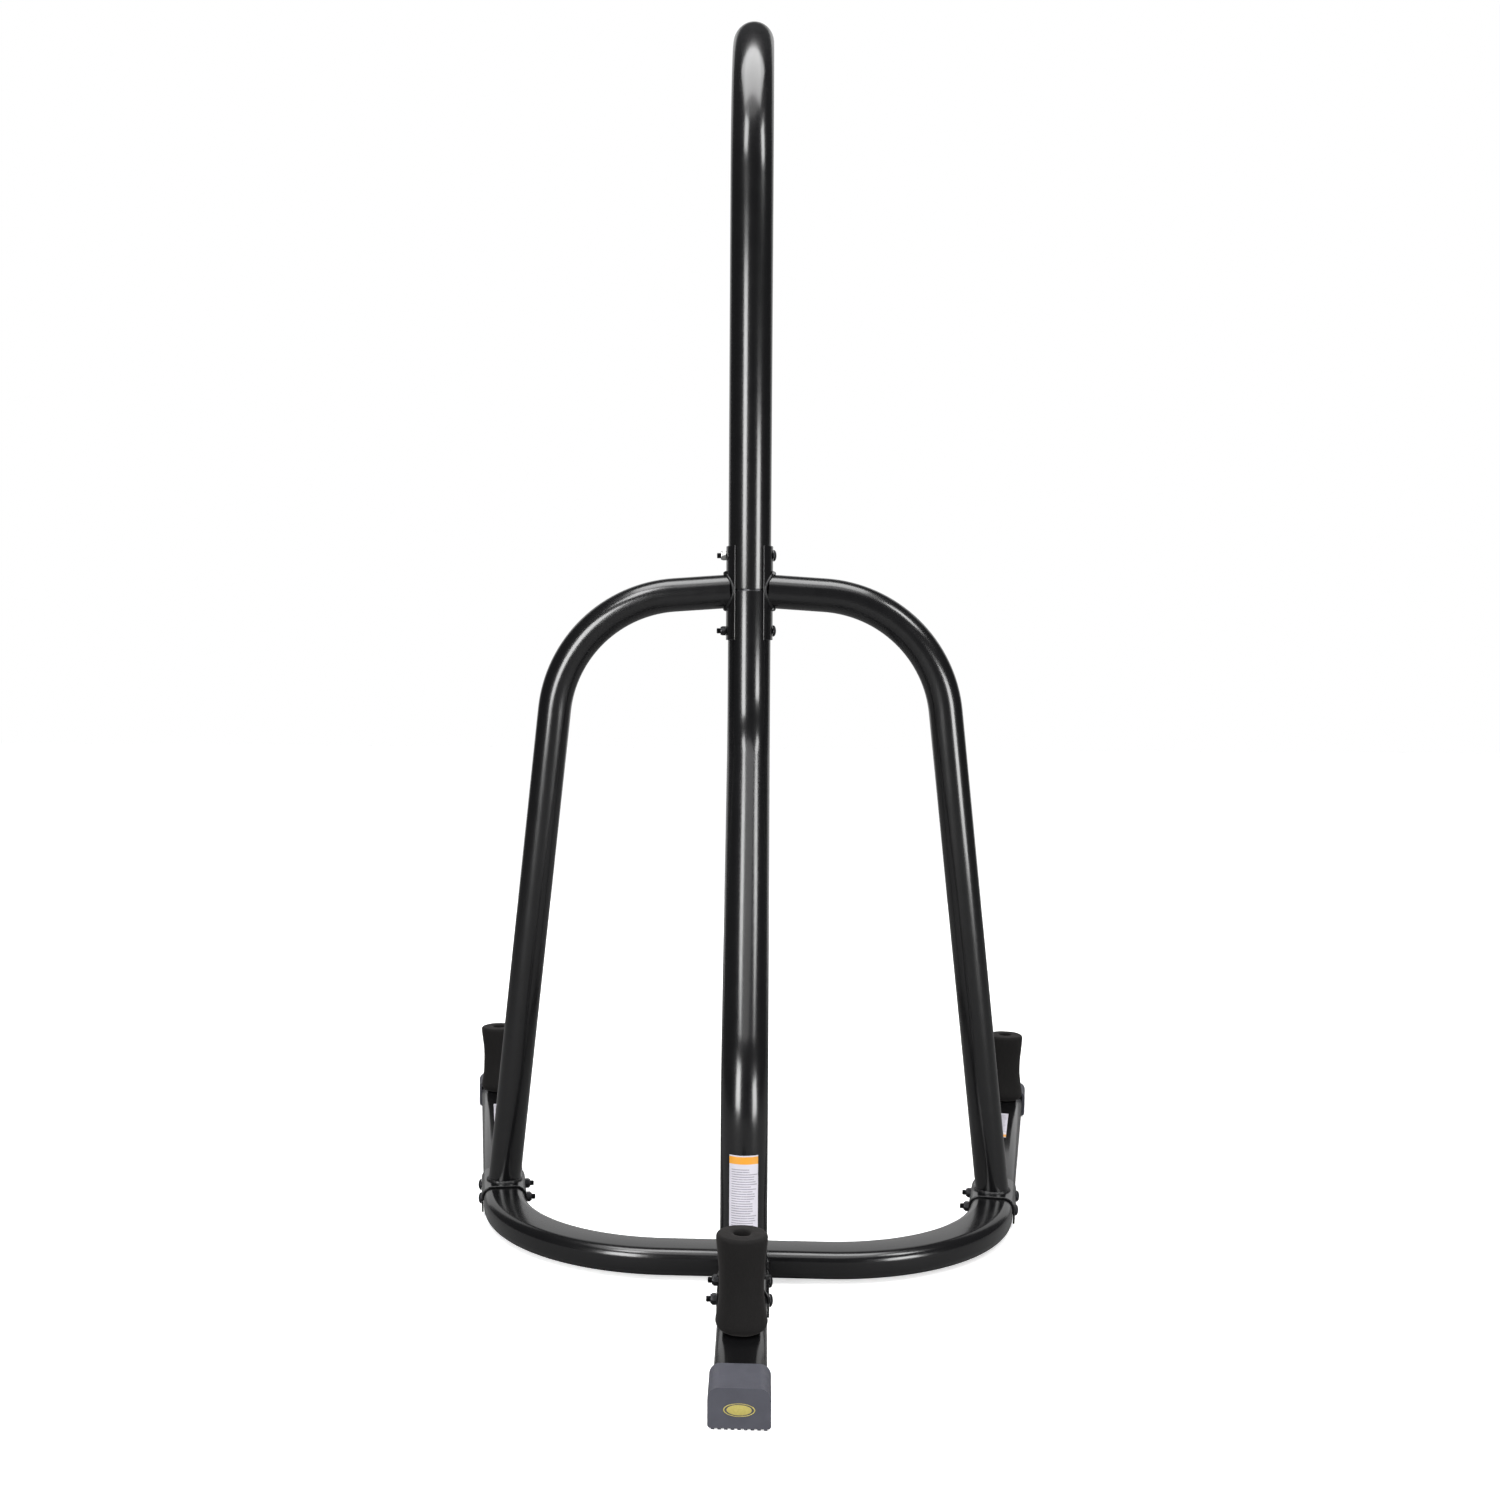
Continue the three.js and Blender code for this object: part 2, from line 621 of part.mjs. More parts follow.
// A round link hangs in the eye, and the swivel's loop hangs in the link. The barrel below the
// loop carries the turning shank.
const linkZ = eyeZ - (EYE_R - EYE_WIRE) + GAP - (LINK_R - LINK_WIRE);
const loopZ = linkZ - (LINK_R - LINK_WIRE) + GAP - (LOOP_R - LINK_WIRE);
add('hanger_link', ring(LINK_R, LINK_WIRE, 24).rotateX(Math.PI / 2).translate(0, eyeAt.y, linkZ), 'zinc');

const barrelTop = loopZ - LOOP_R + 1;
const barrelLow = barrelTop - BARREL_H;
const headZ = barrelLow + 4;
const swivelLoop = ring(LOOP_R, LINK_WIRE).rotateY(Math.PI / 2).translate(0, 0, loopZ);
const barrel = lathe([
  [0, barrelTop],
  [BARREL_D / 2 - 2, barrelTop],
  [BARREL_D / 2, barrelTop - 2],
  [BARREL_D / 2, barrelLow + 2],
  [BARREL_D / 2 - 2, barrelLow],
  [SHANK_D / 2 + GAP, barrelLow],
  [SHANK_D / 2 + GAP, headZ],
  [SHANK_HEAD_D / 2 + GAP, headZ],
  [SHANK_HEAD_D / 2 + GAP, headZ + 6],
  [0, headZ + 6],
].reverse(), 20);
add('hanger_swivel', carve(barrel, [], [swivelLoop]).translate(0, eyeAt.y, 0), 'zinc');

// Snap hook in the YZ plane: spine on -Y, gate on +Y.
const hookTop = barrelLow - 3;
const pinAt = v3(0, HOOK_HALF - 3, hookTop - 14);
const noseZ = hookTop - HOOK_DEPTH + HOOK_HALF + 9;
const shank = lathe([
  [0, hookTop - 6],
  [SHANK_D / 2, hookTop - 6],
  [SHANK_D / 2, headZ + GAP],
  [SHANK_HEAD_D / 2, headZ + GAP],
  [SHANK_HEAD_D / 2, headZ + 5],
  [0, headZ + 5],
], 20);
const hookLine = new BentLine([
  v3(0, 0, hookTop),
  v3(0, 0, hookTop - 7),
  v3(0, -HOOK_HALF, hookTop - 20),
  v3(0, -HOOK_HALF, hookTop - HOOK_DEPTH),
  v3(0, HOOK_HALF, hookTop - HOOK_DEPTH),
  v3(0, HOOK_HALF, noseZ),
], [4, 9, HOOK_HALF - 0.2, HOOK_HALF - 0.2], 0.4);
const hookBow = pipe(2 * HOOK_WIRE, 0, 10, hookLine);
const arm = rod(2 * HOOK_WIRE, v3(0, -2, hookTop - 7), v3(0, pinAt.y, pinAt.z), 14);
const boss = rod(12, v3(-HOOK_WIRE, pinAt.y, pinAt.z), v3(HOOK_WIRE, pinAt.y, pinAt.z), 20);
const collar = rod(15, v3(0, 0, hookTop), v3(0, 0, hookTop - 8), 20);
const slot = rod(14.5, v3(-2.7, pinAt.y, pinAt.z), v3(2.7, pinAt.y, pinAt.z), 20);
const pinHole = rod(GATE_PIN_D + 0.3, v3(-9, pinAt.y, pinAt.z), v3(9, pinAt.y, pinAt.z), 14);
add('snap_hook', carve(shank, [slot, pinHole], [hookBow, arm, boss, collar])
  .translate(0, eyeAt.y, 0), 'zinc');

const gateEye = rod(9.6, v3(-2.4, pinAt.y, pinAt.z), v3(2.4, pinAt.y, pinAt.z), 20);
const gateBar = rod(4.8, v3(0, pinAt.y, pinAt.z), v3(0, HOOK_HALF, noseZ + 0.5), 12);
add('hook_gate', carve(gateEye, [pinHole], [gateBar]).translate(0, eyeAt.y, 0), 'zinc');
add('gate_pin', rod(GATE_PIN_D, v3(-5.2, pinAt.y, pinAt.z), v3(5.2, pinAt.y, pinAt.z), 12)
  .translate(0, eyeAt.y, 0), 'zinc');

export default model;
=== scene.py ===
import math

import bpy
from bpy.props import FloatProperty, FloatVectorProperty, IntProperty, PointerProperty
from mathutils import Matrix, Vector


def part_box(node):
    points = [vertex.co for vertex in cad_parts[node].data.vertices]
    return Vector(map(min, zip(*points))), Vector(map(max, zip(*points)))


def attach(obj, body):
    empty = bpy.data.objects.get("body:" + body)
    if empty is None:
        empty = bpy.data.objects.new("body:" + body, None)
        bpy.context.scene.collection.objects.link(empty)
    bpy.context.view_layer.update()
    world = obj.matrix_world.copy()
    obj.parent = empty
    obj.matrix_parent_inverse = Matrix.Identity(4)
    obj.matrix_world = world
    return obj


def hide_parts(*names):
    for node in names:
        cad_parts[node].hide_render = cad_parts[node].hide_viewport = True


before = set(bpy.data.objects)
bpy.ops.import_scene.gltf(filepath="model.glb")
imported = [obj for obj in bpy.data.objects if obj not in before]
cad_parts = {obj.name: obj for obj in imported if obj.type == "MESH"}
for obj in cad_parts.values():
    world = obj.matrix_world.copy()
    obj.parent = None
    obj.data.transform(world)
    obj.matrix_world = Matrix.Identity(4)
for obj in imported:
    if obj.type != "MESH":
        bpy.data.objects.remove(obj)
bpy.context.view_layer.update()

bl_info = {
    "name": "Heavy bag stand",
    "version": (1, 0, 0),
    "blender": (4, 5, 0),
    "location": "View3D > Sidebar > Bag Stand",
    "description": "Builds the fine surfaces, finishes and stage of a heavy bag stand",
    "category": "Object",
}

UP = Vector((0, 0, 1))
HANDS = (("left", -1), ("right", 1))


def corners_of(node):
    """The low and high corners of a CAD node's box."""
    return [Vector(corner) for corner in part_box(node)]


AXIS_Y = sum(corner.y for corner in corners_of("mast_splice_sleeve")) / 2
LABEL_ROWS = 34.0        # printed bars along a label
FIT = 0.0003            # room between two pieces that fit together
SEAM_GAP = 0.0002       # half of the gap where two base tubes meet
FOOT_RISE = 0.011       # a tube's foot above the middle of the base tube
ROOT_DROP = 0.0016      # how far a brace's axis sits below its root height
SEAT_SHIFT = 0.012      # the mast saddle's middle behind the mast's foot
CAP_WALL = 0.0042       # wall of a foot cap
CAP_FLOOR = 0.0054      # how far a tube's end stays inside its cap


# ---------------------------------------------------------------- sizes and colours

def size(name, description, default, unit="LENGTH"):
    return FloatProperty(name=name, description=description, default=default, unit=unit, precision=4)


def tint(name, description, default):
    return FloatVectorProperty(name=name, description=description, default=default, size=3,
                               min=0, max=1, subtype="COLOR")


class StandMastSizes(bpy.types.PropertyGroup):
    tube: size("Mast tube", "Outer diameter of both mast tubes", 0.0603)
    wall: size("Mast wall", "Wall thickness of both mast tubes", 0.0024)
    seam_z: size("Seam height", "Height of the joint between the two mast tubes", 0.917)
    seam_gap: size("Seam gap", "Half of the dark line between the two tubes", 0.0011)
    foot_y: size("Foot offset", "How far behind the upper mast the lower mast stands", -0.284)
    low_z: size("Low bend", "Height where the lower bend's straight runs would meet", 0.283)
    high_z: size("High bend", "Height where the upper bend's straight runs would meet", 0.720)
    bend: size("Bend radius", "Centreline radius of the lower mast's two bends", 0.190)
    neck_z: size("Neck start", "Height where the bent arm starts", 1.492)
    neck: size("Neck radius", "Centreline radius of the bent arm", 0.260)
    neck_turn: size("Neck turn", "Angle that the arm turns through", math.radians(100), "ROTATION")
    arm: size("Arm length", "Straight run at the end of the arm", 0.240)


class StandBraceSizes(bpy.types.PropertyGroup):
    tube: size("Brace tube", "Outer diameter of the braces", 0.0476)
    wall: size("Brace wall", "Wall thickness of the braces", 0.002)
    axis_z: size("Joint height", "Height of the middle of the mast joint", 0.913)
    root_z: size("Brace height", "Height of a brace's axis beside the mast", 0.9175)
    knee_x: size("Brace knee", "Where the brace's two straight runs would meet", 0.2607)
    knee_z: size("Brace knee height", "Height of that meeting place", 0.900)
    bend: size("Brace bend", "Centreline radius of the brace's bend", 0.186)
    plate_h: size("Plate height", "Height of the curved plates on the mast", 0.132)
    plate: size("Plate thickness", "Thickness of every pressed plate", 0.0026)
    plate_arc: size("Plate arc", "Half of the angle that a curved plate covers", math.radians(53.5),
                    "ROTATION")


class StandBaseSizes(bpy.types.PropertyGroup):
    width: size("Base tube width", "Width of the flat-sided base tube", 0.060)
    height: size("Base tube height", "Height of the flat-sided base tube", 0.037)
    corner: size("Corner radius", "Corner radius of the base tube's section", 0.013)
    wall: size("Base wall", "Wall thickness of the base tube", 0.0022)
    lift: size("Base lift", "Height of the base tube's underside above the floor", 0.005)
    cross_y: size("Crossbar place", "Crossbar centreline, measured from the upper mast", -0.183)
    corner_x: size("Corner place", "Where crossbar and leg centrelines would meet", 0.318)
    bend: size("Crossbar bend", "Centreline radius of the crossbar's two bends", 0.250)
    splay: size("Leg splay", "How far each leg turns outwards", math.radians(9.7), "ROTATION")
    foot_at: size("Saddle place", "Distance along the leg to the saddle's middle", 0.265)
    brace_at: size("Brace foot place", "Distance along the leg to the brace's axis", 0.258)
    peg_at: size("Peg place", "Distance along the leg to the weight peg", 0.784)
    end_at: size("Leg end", "Distance along the leg to the end of its cap", 0.891)
    rear_end: size("Rear end", "Face of the rear cap, measured from the upper mast", -0.636)
    rear_peg: size("Rear peg", "Rear weight peg, measured from the upper mast", -0.468)
    saddle: size("Saddle length", "Length of every saddle plate", 0.094)
    pitch: size("Saddle bolts", "Distance between a saddle's two bolts", 0.064)
    cap: size("Cap length", "Length of a foot cap", 0.064)


class StandFoamSizes(bpy.types.PropertyGroup):
    ends: size("Foam diameter", "Diameter at the two ends of a sleeve", 0.0612)
    waist: size("Foam waist", "Diameter at a sleeve's middle", 0.0525)
    bore: size("Foam bore", "Diameter of a sleeve's bore", 0.0202)
    length: size("Foam length", "Length of a sleeve", 0.115)


class StandFinishes(bpy.types.PropertyGroup):
    powder: tint("Powder coat", "Black powder coat on the steel", (0.0032, 0.0032, 0.0036))
    hardware: tint("Hardware", "Dark zinc on bolts and nuts", (0.042, 0.042, 0.045))
    bright: tint("Bright zinc", "Bright zinc on the hanger", (0.46, 0.46, 0.45))
    foam: tint("Foam", "Black closed-cell foam", (0.0046, 0.0041, 0.0040))
    rubber: tint("Rubber", "Slate grey rubber of the foot caps", (0.060, 0.061, 0.076))
    paper: tint("Label", "White of the labels", (0.60, 0.58, 0.64))
    band: tint("Label band", "Coloured band of the labels", (0.68, 0.30, 0.03))
    floor: tint("Floor", "Pale studio floor", (0.90, 0.90, 0.90))


class StandDetail(bpy.types.PropertyGroup):
    around: IntProperty(name="Sides", description="Sides of a round tube", default=72, min=24, max=128)
    bend_step: FloatProperty(name="Bend step", description="Turn between two rings of a bend",
                             default=math.radians(2.5), unit="ROTATION")


# ---------------------------------------------------------------- modelling helpers

def settings():
    return bpy.context.scene


def base_middle():
    base = settings().stand_base
    return base.lift + base.height / 2


def seat_y():
    """Middle of the mast saddle, measured from the upper mast."""
    return settings().stand_mast.foot_y - SEAT_SHIFT


def saddle_reach():
    """From a base tube's middle to the outside of a saddle's skirt."""
    return settings().stand_base.width / 2 + FIT + settings().stand_brace.plate


def circle(steps):
    return [step / steps * 2 * math.pi for step in range(steps)]


def quarter(steps, first=1):
    return [step / steps * math.pi / 2 for step in range(first, steps + 1)]


def dome(radius, rise, base, steps):
    """Profile of a dome from just past its rim to the middle of its crown."""
    points = [(radius * math.cos(angle), base + rise * math.sin(angle)) for angle in quarter(steps)]
    return [*points[:-1], (0, points[-1][1])]


def clear():
    if bpy.context.mode != "OBJECT":
        bpy.ops.object.mode_set(mode="OBJECT")
    bpy.context.tool_settings.mesh_select_mode = (True, False, False)
    bpy.ops.object.select_all(action="DESELECT")


def pick(*objects):
    clear()
    for obj in objects:
        obj.select_set(True)
    bpy.context.view_layer.objects.active = objects[0]


def edit(obj, select="SELECT"):
    pick(obj)
    bpy.ops.object.mode_set(mode="EDIT")
    bpy.ops.mesh.select_all(action=select)


def choose(obj, kind, test):
    """Enter edit mode with only the vertices, edges or faces that pass a test selected."""
    edit(obj, "DESELECT")
    bpy.ops.object.mode_set(mode="OBJECT")
    bpy.context.tool_settings.mesh_select_mode = [kind == each for each in ("VERT", "EDGE", "FACE")]
    items = {"VERT": obj.data.vertices, "EDGE": obj.data.edges, "FACE": obj.data.polygons}[kind]
    for item in items:
        item.select = bool(test(item))
    bpy.ops.object.mode_set(mode="EDIT")


def round_edges(obj, test, width, segments=10):
    """Round the edges whose two ends pass a test."""
    choose(obj, "EDGE", lambda edge: test(*[obj.data.vertices[index].co for index in edge.vertices]))
    bpy.ops.mesh.bevel(offset=width, segments=segments, affect="EDGES", profile=0.5)
    clear()


def named(name, obj=None):
    obj = obj or bpy.context.object
    obj.name = name
    obj.data.name = name
    return obj


def settle(obj, matrix=None):
    """Put a finished shape in its place, with the place kept in its mesh."""
    pick(obj)
    if matrix is not None:
        obj.matrix_world = matrix @ obj.matrix_world
    bpy.ops.object.transform_apply(location=True, rotation=True, scale=True)
    return obj


def modify(obj, kind, **values):
    pick(obj)
    modifier = obj.modifiers.new(kind.title(), kind)
    for key, value in values.items():
        setattr(modifier, key, value)
    bpy.ops.object.modifier_apply(modifier=modifier.name)
    return obj


def bevel(obj, width, angle=50, segments=3):
    """Round every edge sharper than an angle."""
    return modify(obj, "BEVEL", width=width, segments=segments, limit_method="ANGLE",
                  angle_limit=math.radians(angle))


def smooth(obj, angle=40, flat=False):
    """Smooth shading; flat keeps broad faces even beside their bevels."""
    pick(obj)
    bpy.ops.object.shade_smooth_by_angle(angle=math.radians(angle))
    if flat:
        modify(obj, "WEIGHTED_NORMAL", mode="FACE_AREA", weight=50, keep_sharp=True)
    return obj


def block(name, extent, at=(0, 0, 0), add=bpy.ops.mesh.primitive_cube_add, place=None):
    """A box, or a flat sheet, of an extent about a point."""
    add(size=1)
    obj = named(name)
    edit(obj)
    bpy.ops.transform.resize(value=extent, center_override=(0, 0, 0))
    bpy.ops.transform.translate(value=at)
    clear()
    return settle(obj, place)


def fuse(name, *objects):
    pick(*objects)
    if len(objects) > 1:
        bpy.ops.object.join()
    return named(name)


def twin(obj, name, matrix=None):
    clear()
    other = obj.copy()
    other.data = obj.data.copy()
    named(name, other)
    bpy.context.scene.collection.objects.link(other)
    if matrix is not None:
        settle(other, matrix)
    return other


def flip(obj):
    edit(obj)
    bpy.ops.mesh.flip_normals()
    clear()


def face_outwards(obj, outward):
    """Make the normals agree, with the first face turned along a direction."""
    edit(obj)
    bpy.ops.mesh.normals_make_consistent(inside=False)
    clear()
    if obj.data.polygons[0].normal.dot(outward) < 0:
        flip(obj)


def discard(*patterns):
    for obj in patterns:
        bpy.data.objects.remove(obj)


def extrude(step):
    bpy.ops.mesh.extrude_region_move(TRANSFORM_OT_translate={"value": tuple(step)})


def round_loop(radius, sides=None):
    count = sides or settings().stand_detail.around

    def make(at, heading):
        turn = heading.to_track_quat("Z", "Y").to_euler()
        bpy.ops.mesh.primitive_circle_add(vertices=count, radius=radius, location=at, rotation=turn)
        return bpy.context.object
    return make


def box_loop(width, height, corner, segments=8):
    def make(at, heading):
        side = heading.cross(UP).normalized()
        turn = Matrix((side, UP, side.cross(UP))).transposed().to_euler()
        bpy.ops.mesh.primitive_plane_add(size=1)
        obj = bpy.context.object
        edit(obj)
        bpy.ops.transform.resize(value=(width, height, 1), center_override=(0, 0, 0))
        bpy.ops.mesh.delete(type="ONLY_FACE")
        bpy.ops.mesh.select_all(action="SELECT")
        bpy.ops.mesh.bevel(offset=corner, segments=segments, affect="VERTICES", profile=0.5)
        clear()
        settle(obj, Matrix.Translation(at) @ turn.to_matrix().to_4x4())
        return obj
    return make


def sweep(name, loop, corners, radii=(), wall=0.0, lip=0.0, angle=40):
    """Draw a section out along straight runs joined by bends, then give it a wall."""
    corners = [Vector(corner) for corner in corners]
    heading = (corners[1] - corners[0]).normalized()
    obj = loop(corners[0], heading)
    edit(obj)
    at = corners[0]
    for index, radius in enumerate(radii):
        before, bend, after = corners[index:index + 3]
        into = (bend - before).normalized()
        out = (after - bend).normalized()
        turn = into.angle(out)
        reach = radius * math.tan(turn / 2)
        axis = into.cross(out).normalized()
        start = bend - into * reach
        if (start - at).length > 1e-6:
            extrude(start - at)
        steps = max(3, round(turn / settings().stand_detail.bend_step))
        bpy.ops.mesh.spin(steps=steps, dupli=False, angle=-turn, axis=axis,
                          center=start + axis.cross(into) * radius)
        at = bend + out * reach
    extrude(corners[-1] - at)
    clear()
    settle(obj)
    face = obj.data.polygons[0]
    outward = face.center - corners[0]
    face_outwards(obj, outward - heading * outward.dot(heading))
    if wall:
        modify(obj, "SOLIDIFY", thickness=wall, offset=-1)
    else:
        edit(obj, "DESELECT")
        bpy.ops.mesh.select_non_manifold()
        bpy.ops.mesh.edge_face_add()
        clear()
    if lip:
        bevel(obj, lip, 60)
    return smooth(named(name, obj), angle)


def turned(name, profile, sides=48, angle=40):
    """Turn a profile of (radius, height) round the Z axis, ring by ring."""
    solid = profile[0][0] == 0
    rings = profile[1:] if solid else profile
    radius, height = rings[0]
    bpy.ops.mesh.primitive_circle_add(vertices=sides, radius=radius, location=(0, 0, height),
                                      fill_type="NGON" if solid else "NOTHING")
    obj = bpy.context.object
    edit(obj)
    for next_radius, next_height in rings[1:]:
        extrude((0, 0, next_height - height))
        ratio = next_radius / radius
        bpy.ops.transform.resize(value=(ratio, ratio, 1), center_override=(0, 0, next_height))
        radius, height = max(next_radius, 1e-9), next_height
    bpy.ops.mesh.select_all(action="SELECT")
    bpy.ops.mesh.remove_doubles(threshold=2e-6)
    bpy.ops.mesh.normals_make_consistent(inside=False)
    clear()
    settle(obj)
    return smooth(named(name, obj), angle)


def torus(name, radius, wire, normal, at):
    turn = Vector(normal).to_track_quat("Z", "Y").to_euler()
    bpy.ops.mesh.primitive_torus_add(major_radius=radius, minor_radius=wire, major_segments=64,
                                     minor_segments=24, location=at, rotation=turn)
    return smooth(settle(named(name)), 60)


def rod(name, radius, start, end, lip=0.0, sides=32):
    start, end = Vector(start), Vector(end)
    way = end - start
    bpy.ops.mesh.primitive_cylinder_add(vertices=sides, radius=radius, depth=way.length,
                                        location=(start + end) / 2,
                                        rotation=way.to_track_quat("Z", "Y").to_euler())
    obj = settle(named(name))
    if lip:
        bevel(obj, lip)
    return smooth(obj, 40)


def arc_strip(name, radius, half_arc, centre, base, height, wall, facing):
    """A curved plate: part of a ring, drawn up and thickened outwards."""
    bpy.ops.mesh.primitive_circle_add(vertices=240, radius=radius, location=(0, 0, base))
    obj = bpy.context.object
    clear()
    choose(obj, "VERT", lambda vertex: abs(math.remainder(
        math.atan2(vertex.co.y, vertex.co.x) - facing, 2 * math.pi)) > half_arc)
    bpy.ops.mesh.delete(type="VERT")
    bpy.ops.mesh.select_all(action="SELECT")
    extrude((0, 0, height))
    bpy.ops.mesh.select_all(action="SELECT")
    bpy.ops.mesh.normals_make_consistent(inside=False)
    clear()
    settle(obj, Matrix.Translation((centre[0], centre[1], 0)))
    face = obj.data.polygons[0]
    if face.normal.dot(face.center - Vector((centre[0], centre[1], face.center.z))) < 0:
        edit(obj)
        bpy.ops.mesh.flip_normals()
        clear()
    modify(obj, "SOLIDIFY", thickness=wall, offset=1)
    return named(name, obj)


def bead(name, points, radius, seed=0.0, closed=True):
    """A weld bead: a run of small overlapping ripples along a joint line."""
    data = bpy.data.curves.new(name, "CURVE")
    data.dimensions = "3D"
    data.bevel_depth = radius
    data.bevel_resolution = 3
    data.use_fill_caps = True
    spline = data.splines.new("POLY")
    spline.points.add(len(points) - 1)
    for index, point in enumerate(points):
        ripple = 0.86 + 0.16 * math.sin(index * 2.1 + seed) + 0.08 * math.sin(index * 0.37 + 2 * seed)
        spline.points[index].co = (*point, 1)
        spline.points[index].radius = ripple
    spline.use_cyclic_u = closed
    obj = bpy.data.objects.new(name, data)
    bpy.context.scene.collection.objects.link(obj)
    pick(obj)
    bpy.ops.object.convert(target="MESH")
    return smooth(bpy.context.object, 60)


def leg_matrix(side, along):
    """Frame of a side leg: +Y along the leg, outwards to its end, at a distance along it."""
    base = settings().stand_base
    place = Vector((
        side * (base.corner_x + along * math.sin(base.splay)),
        AXIS_Y + base.cross_y + along * math.cos(base.splay),
        0,
    ))
    return Matrix.Translation(place) @ Matrix.Rotation(-side * base.splay, 4, "Z")


def rear_matrix(y):
    return Matrix.Translation((0, AXIS_Y + y, 0)) @ Matrix.Rotation(math.pi, 4, "Z")


def three_legs(along, rear_y):
    """The same place on each of the three legs."""
    return [*((word, leg_matrix(side, along)) for word, side in HANDS), ("rear", rear_matrix(rear_y))]


def paint(obj, look):
    obj.data.materials.clear()
    obj.data.materials.append(finish(look))


def dress(obj, look, node=None, body="frame"):
    """Give a piece its finish, hide the CAD node it stands for, and hang it on the body it rides on."""
    paint(obj, look)
    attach(obj, body)
    if node:
        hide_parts(node)
    return obj


# ---------------------------------------------------------------- finishes

class Finish:
    """A node material under construction: one Principled shader and what feeds it."""

    def __init__(self, name):
        self.material = bpy.data.materials.new(name)
        self.material.use_nodes = True
        self.nodes = self.material.node_tree.nodes
        self.links = self.material.node_tree.links
        self.shader = self.nodes["Principled BSDF"]
        self.place = self.add("ShaderNodeTexCoord").outputs["Object"]

    def add(self, kind, **values):
        node = self.nodes.new(kind)
        for key, value in values.items():
            if hasattr(node, key):
                setattr(node, key, value)
            else:
                node.inputs[key].default_value = value
        return node

    def link(self, source, target):
        self.links.new(source, target)

    def noise(self, scale, detail=3.0, roughness=0.5, place=None):
        node = self.add("ShaderNodeTexNoise", Scale=scale, Detail=detail, Roughness=roughness)
        self.link(place or self.place, node.inputs["Vector"])
        return node.outputs["Fac"]

    def cells(self, scale):
        node = self.add("ShaderNodeTexVoronoi", Scale=scale)
        self.link(self.place, node.inputs["Vector"])
        return node.outputs["Distance"]

    def ramp(self, value, stops):
        node = self.add("ShaderNodeValToRGB")
        while len(node.color_ramp.elements) < len(stops):
            node.color_ramp.elements.new(0.5)
        for element, (position, colour) in zip(node.color_ramp.elements, stops):
            element.position = position
            element.color = (*colour, 1) if len(colour) == 3 else colour
        self.link(value, node.inputs["Fac"])
        return node.outputs["Color"]

    def tone(self, value, colour, dark, light, stops):
        """A colour between a darker and a lighter shade of itself."""
        return self.ramp(value, list(zip(stops, (shade(colour, dark), colour, shade(colour, light)))))

    def grey(self, value, low, high, stops=(0.3, 0.75)):
        return self.ramp(value, list(zip(stops, ((low,) * 3, (high,) * 3))))

    def math(self, operation, a, b=None):
        node = self.add("ShaderNodeMath", operation=operation)
        for index, value in enumerate((a, b)):
            if isinstance(value, (int, float)):
                node.inputs[index].default_value = value
            elif value is not None:
                self.link(value, node.inputs[index])
        return node.outputs["Value"]

    def times(self, a, b):
        return self.math("MULTIPLY", a, b)

    def between(self, value, low, high):
        return self.times(self.math("GREATER_THAN", value, low), self.math("LESS_THAN", value, high))

    def mix(self, factor, a, b):
        node = self.add("ShaderNodeMix", data_type="RGBA")
        for socket, value in ((node.inputs["Factor"], factor), (node.inputs[6], a), (node.inputs[7], b)):
            if isinstance(value, (int, float)):
                socket.default_value = value
            elif isinstance(value, (tuple, list)):
                socket.default_value = (*value[:3], 1)
            else:
                self.link(value, socket)
        return node.outputs[2]

    def bump(self, height, distance, strength=1.0, normal=None):
        node = self.add("ShaderNodeBump", Distance=distance, Strength=strength)
        self.link(height, node.inputs["Height"])
        if normal is not None:
            self.link(normal, node.inputs["Normal"])
        return node.outputs["Normal"]

    def feed(self, **values):
        for key, value in values.items():
            socket = self.shader.inputs[key.replace("_", " ")]
            if isinstance(value, bpy.types.NodeSocket):
                self.link(value, socket)
            elif isinstance(value, (tuple, list)) and len(value) == 3:
                socket.default_value = (*value, 1)
            else:
                socket.default_value = value
        return self.material


def shade(colour, factor):
    return tuple(min(1.0, channel * factor) for channel in colour)


def powder_coat():
    """Glossy black powder coat: fine orange peel, faint dust and handling marks."""
    colour = tuple(settings().stand_finishes.powder)
    rough = 0.21
    f = Finish("powder_coat_black")
    broad = f.noise(9.0, 4.0, 0.6)
    peel = f.noise(260.0, 1.0, 0.4)
    wave = f.noise(26.0, 2.0, 0.5)
    smear = f.noise(34.0, 5.0, 0.6)
    dust = f.tone(smear, colour, 0.92, 1.4, (0.30, 0.62, 0.82))
    base = f.mix(broad, dust, shade(colour, 1.15))
    gloss = f.grey(smear, rough, rough + 0.05, (0.30, 0.78))
    relief = f.bump(wave, 0.0003, 0.05)
    relief = f.bump(peel, 0.000004, 0.01, relief)
    return f.feed(Base_Color=base, Roughness=gloss, Normal=relief, IOR=1.52, Specular_IOR_Level=0.5,
                  Coat_Weight=0.25, Coat_Roughness=0.11)


def weld_coat():
    """Powder coat over a weld: the same black, duller and uneven."""
    colour = tuple(settings().stand_finishes.powder)
    f = Finish("weld_coat_black")
    lumps = f.noise(700.0, 4.0, 0.6)
    base = f.ramp(lumps, [(0.3, shade(colour, 0.8)), (0.75, shade(colour, 2.4))])
    gloss = f.grey(lumps, 0.26, 0.48, (0.3, 0.8))
    return f.feed(Base_Color=base, Roughness=gloss, Normal=f.bump(lumps, 0.0004, 0.5), IOR=1.5)


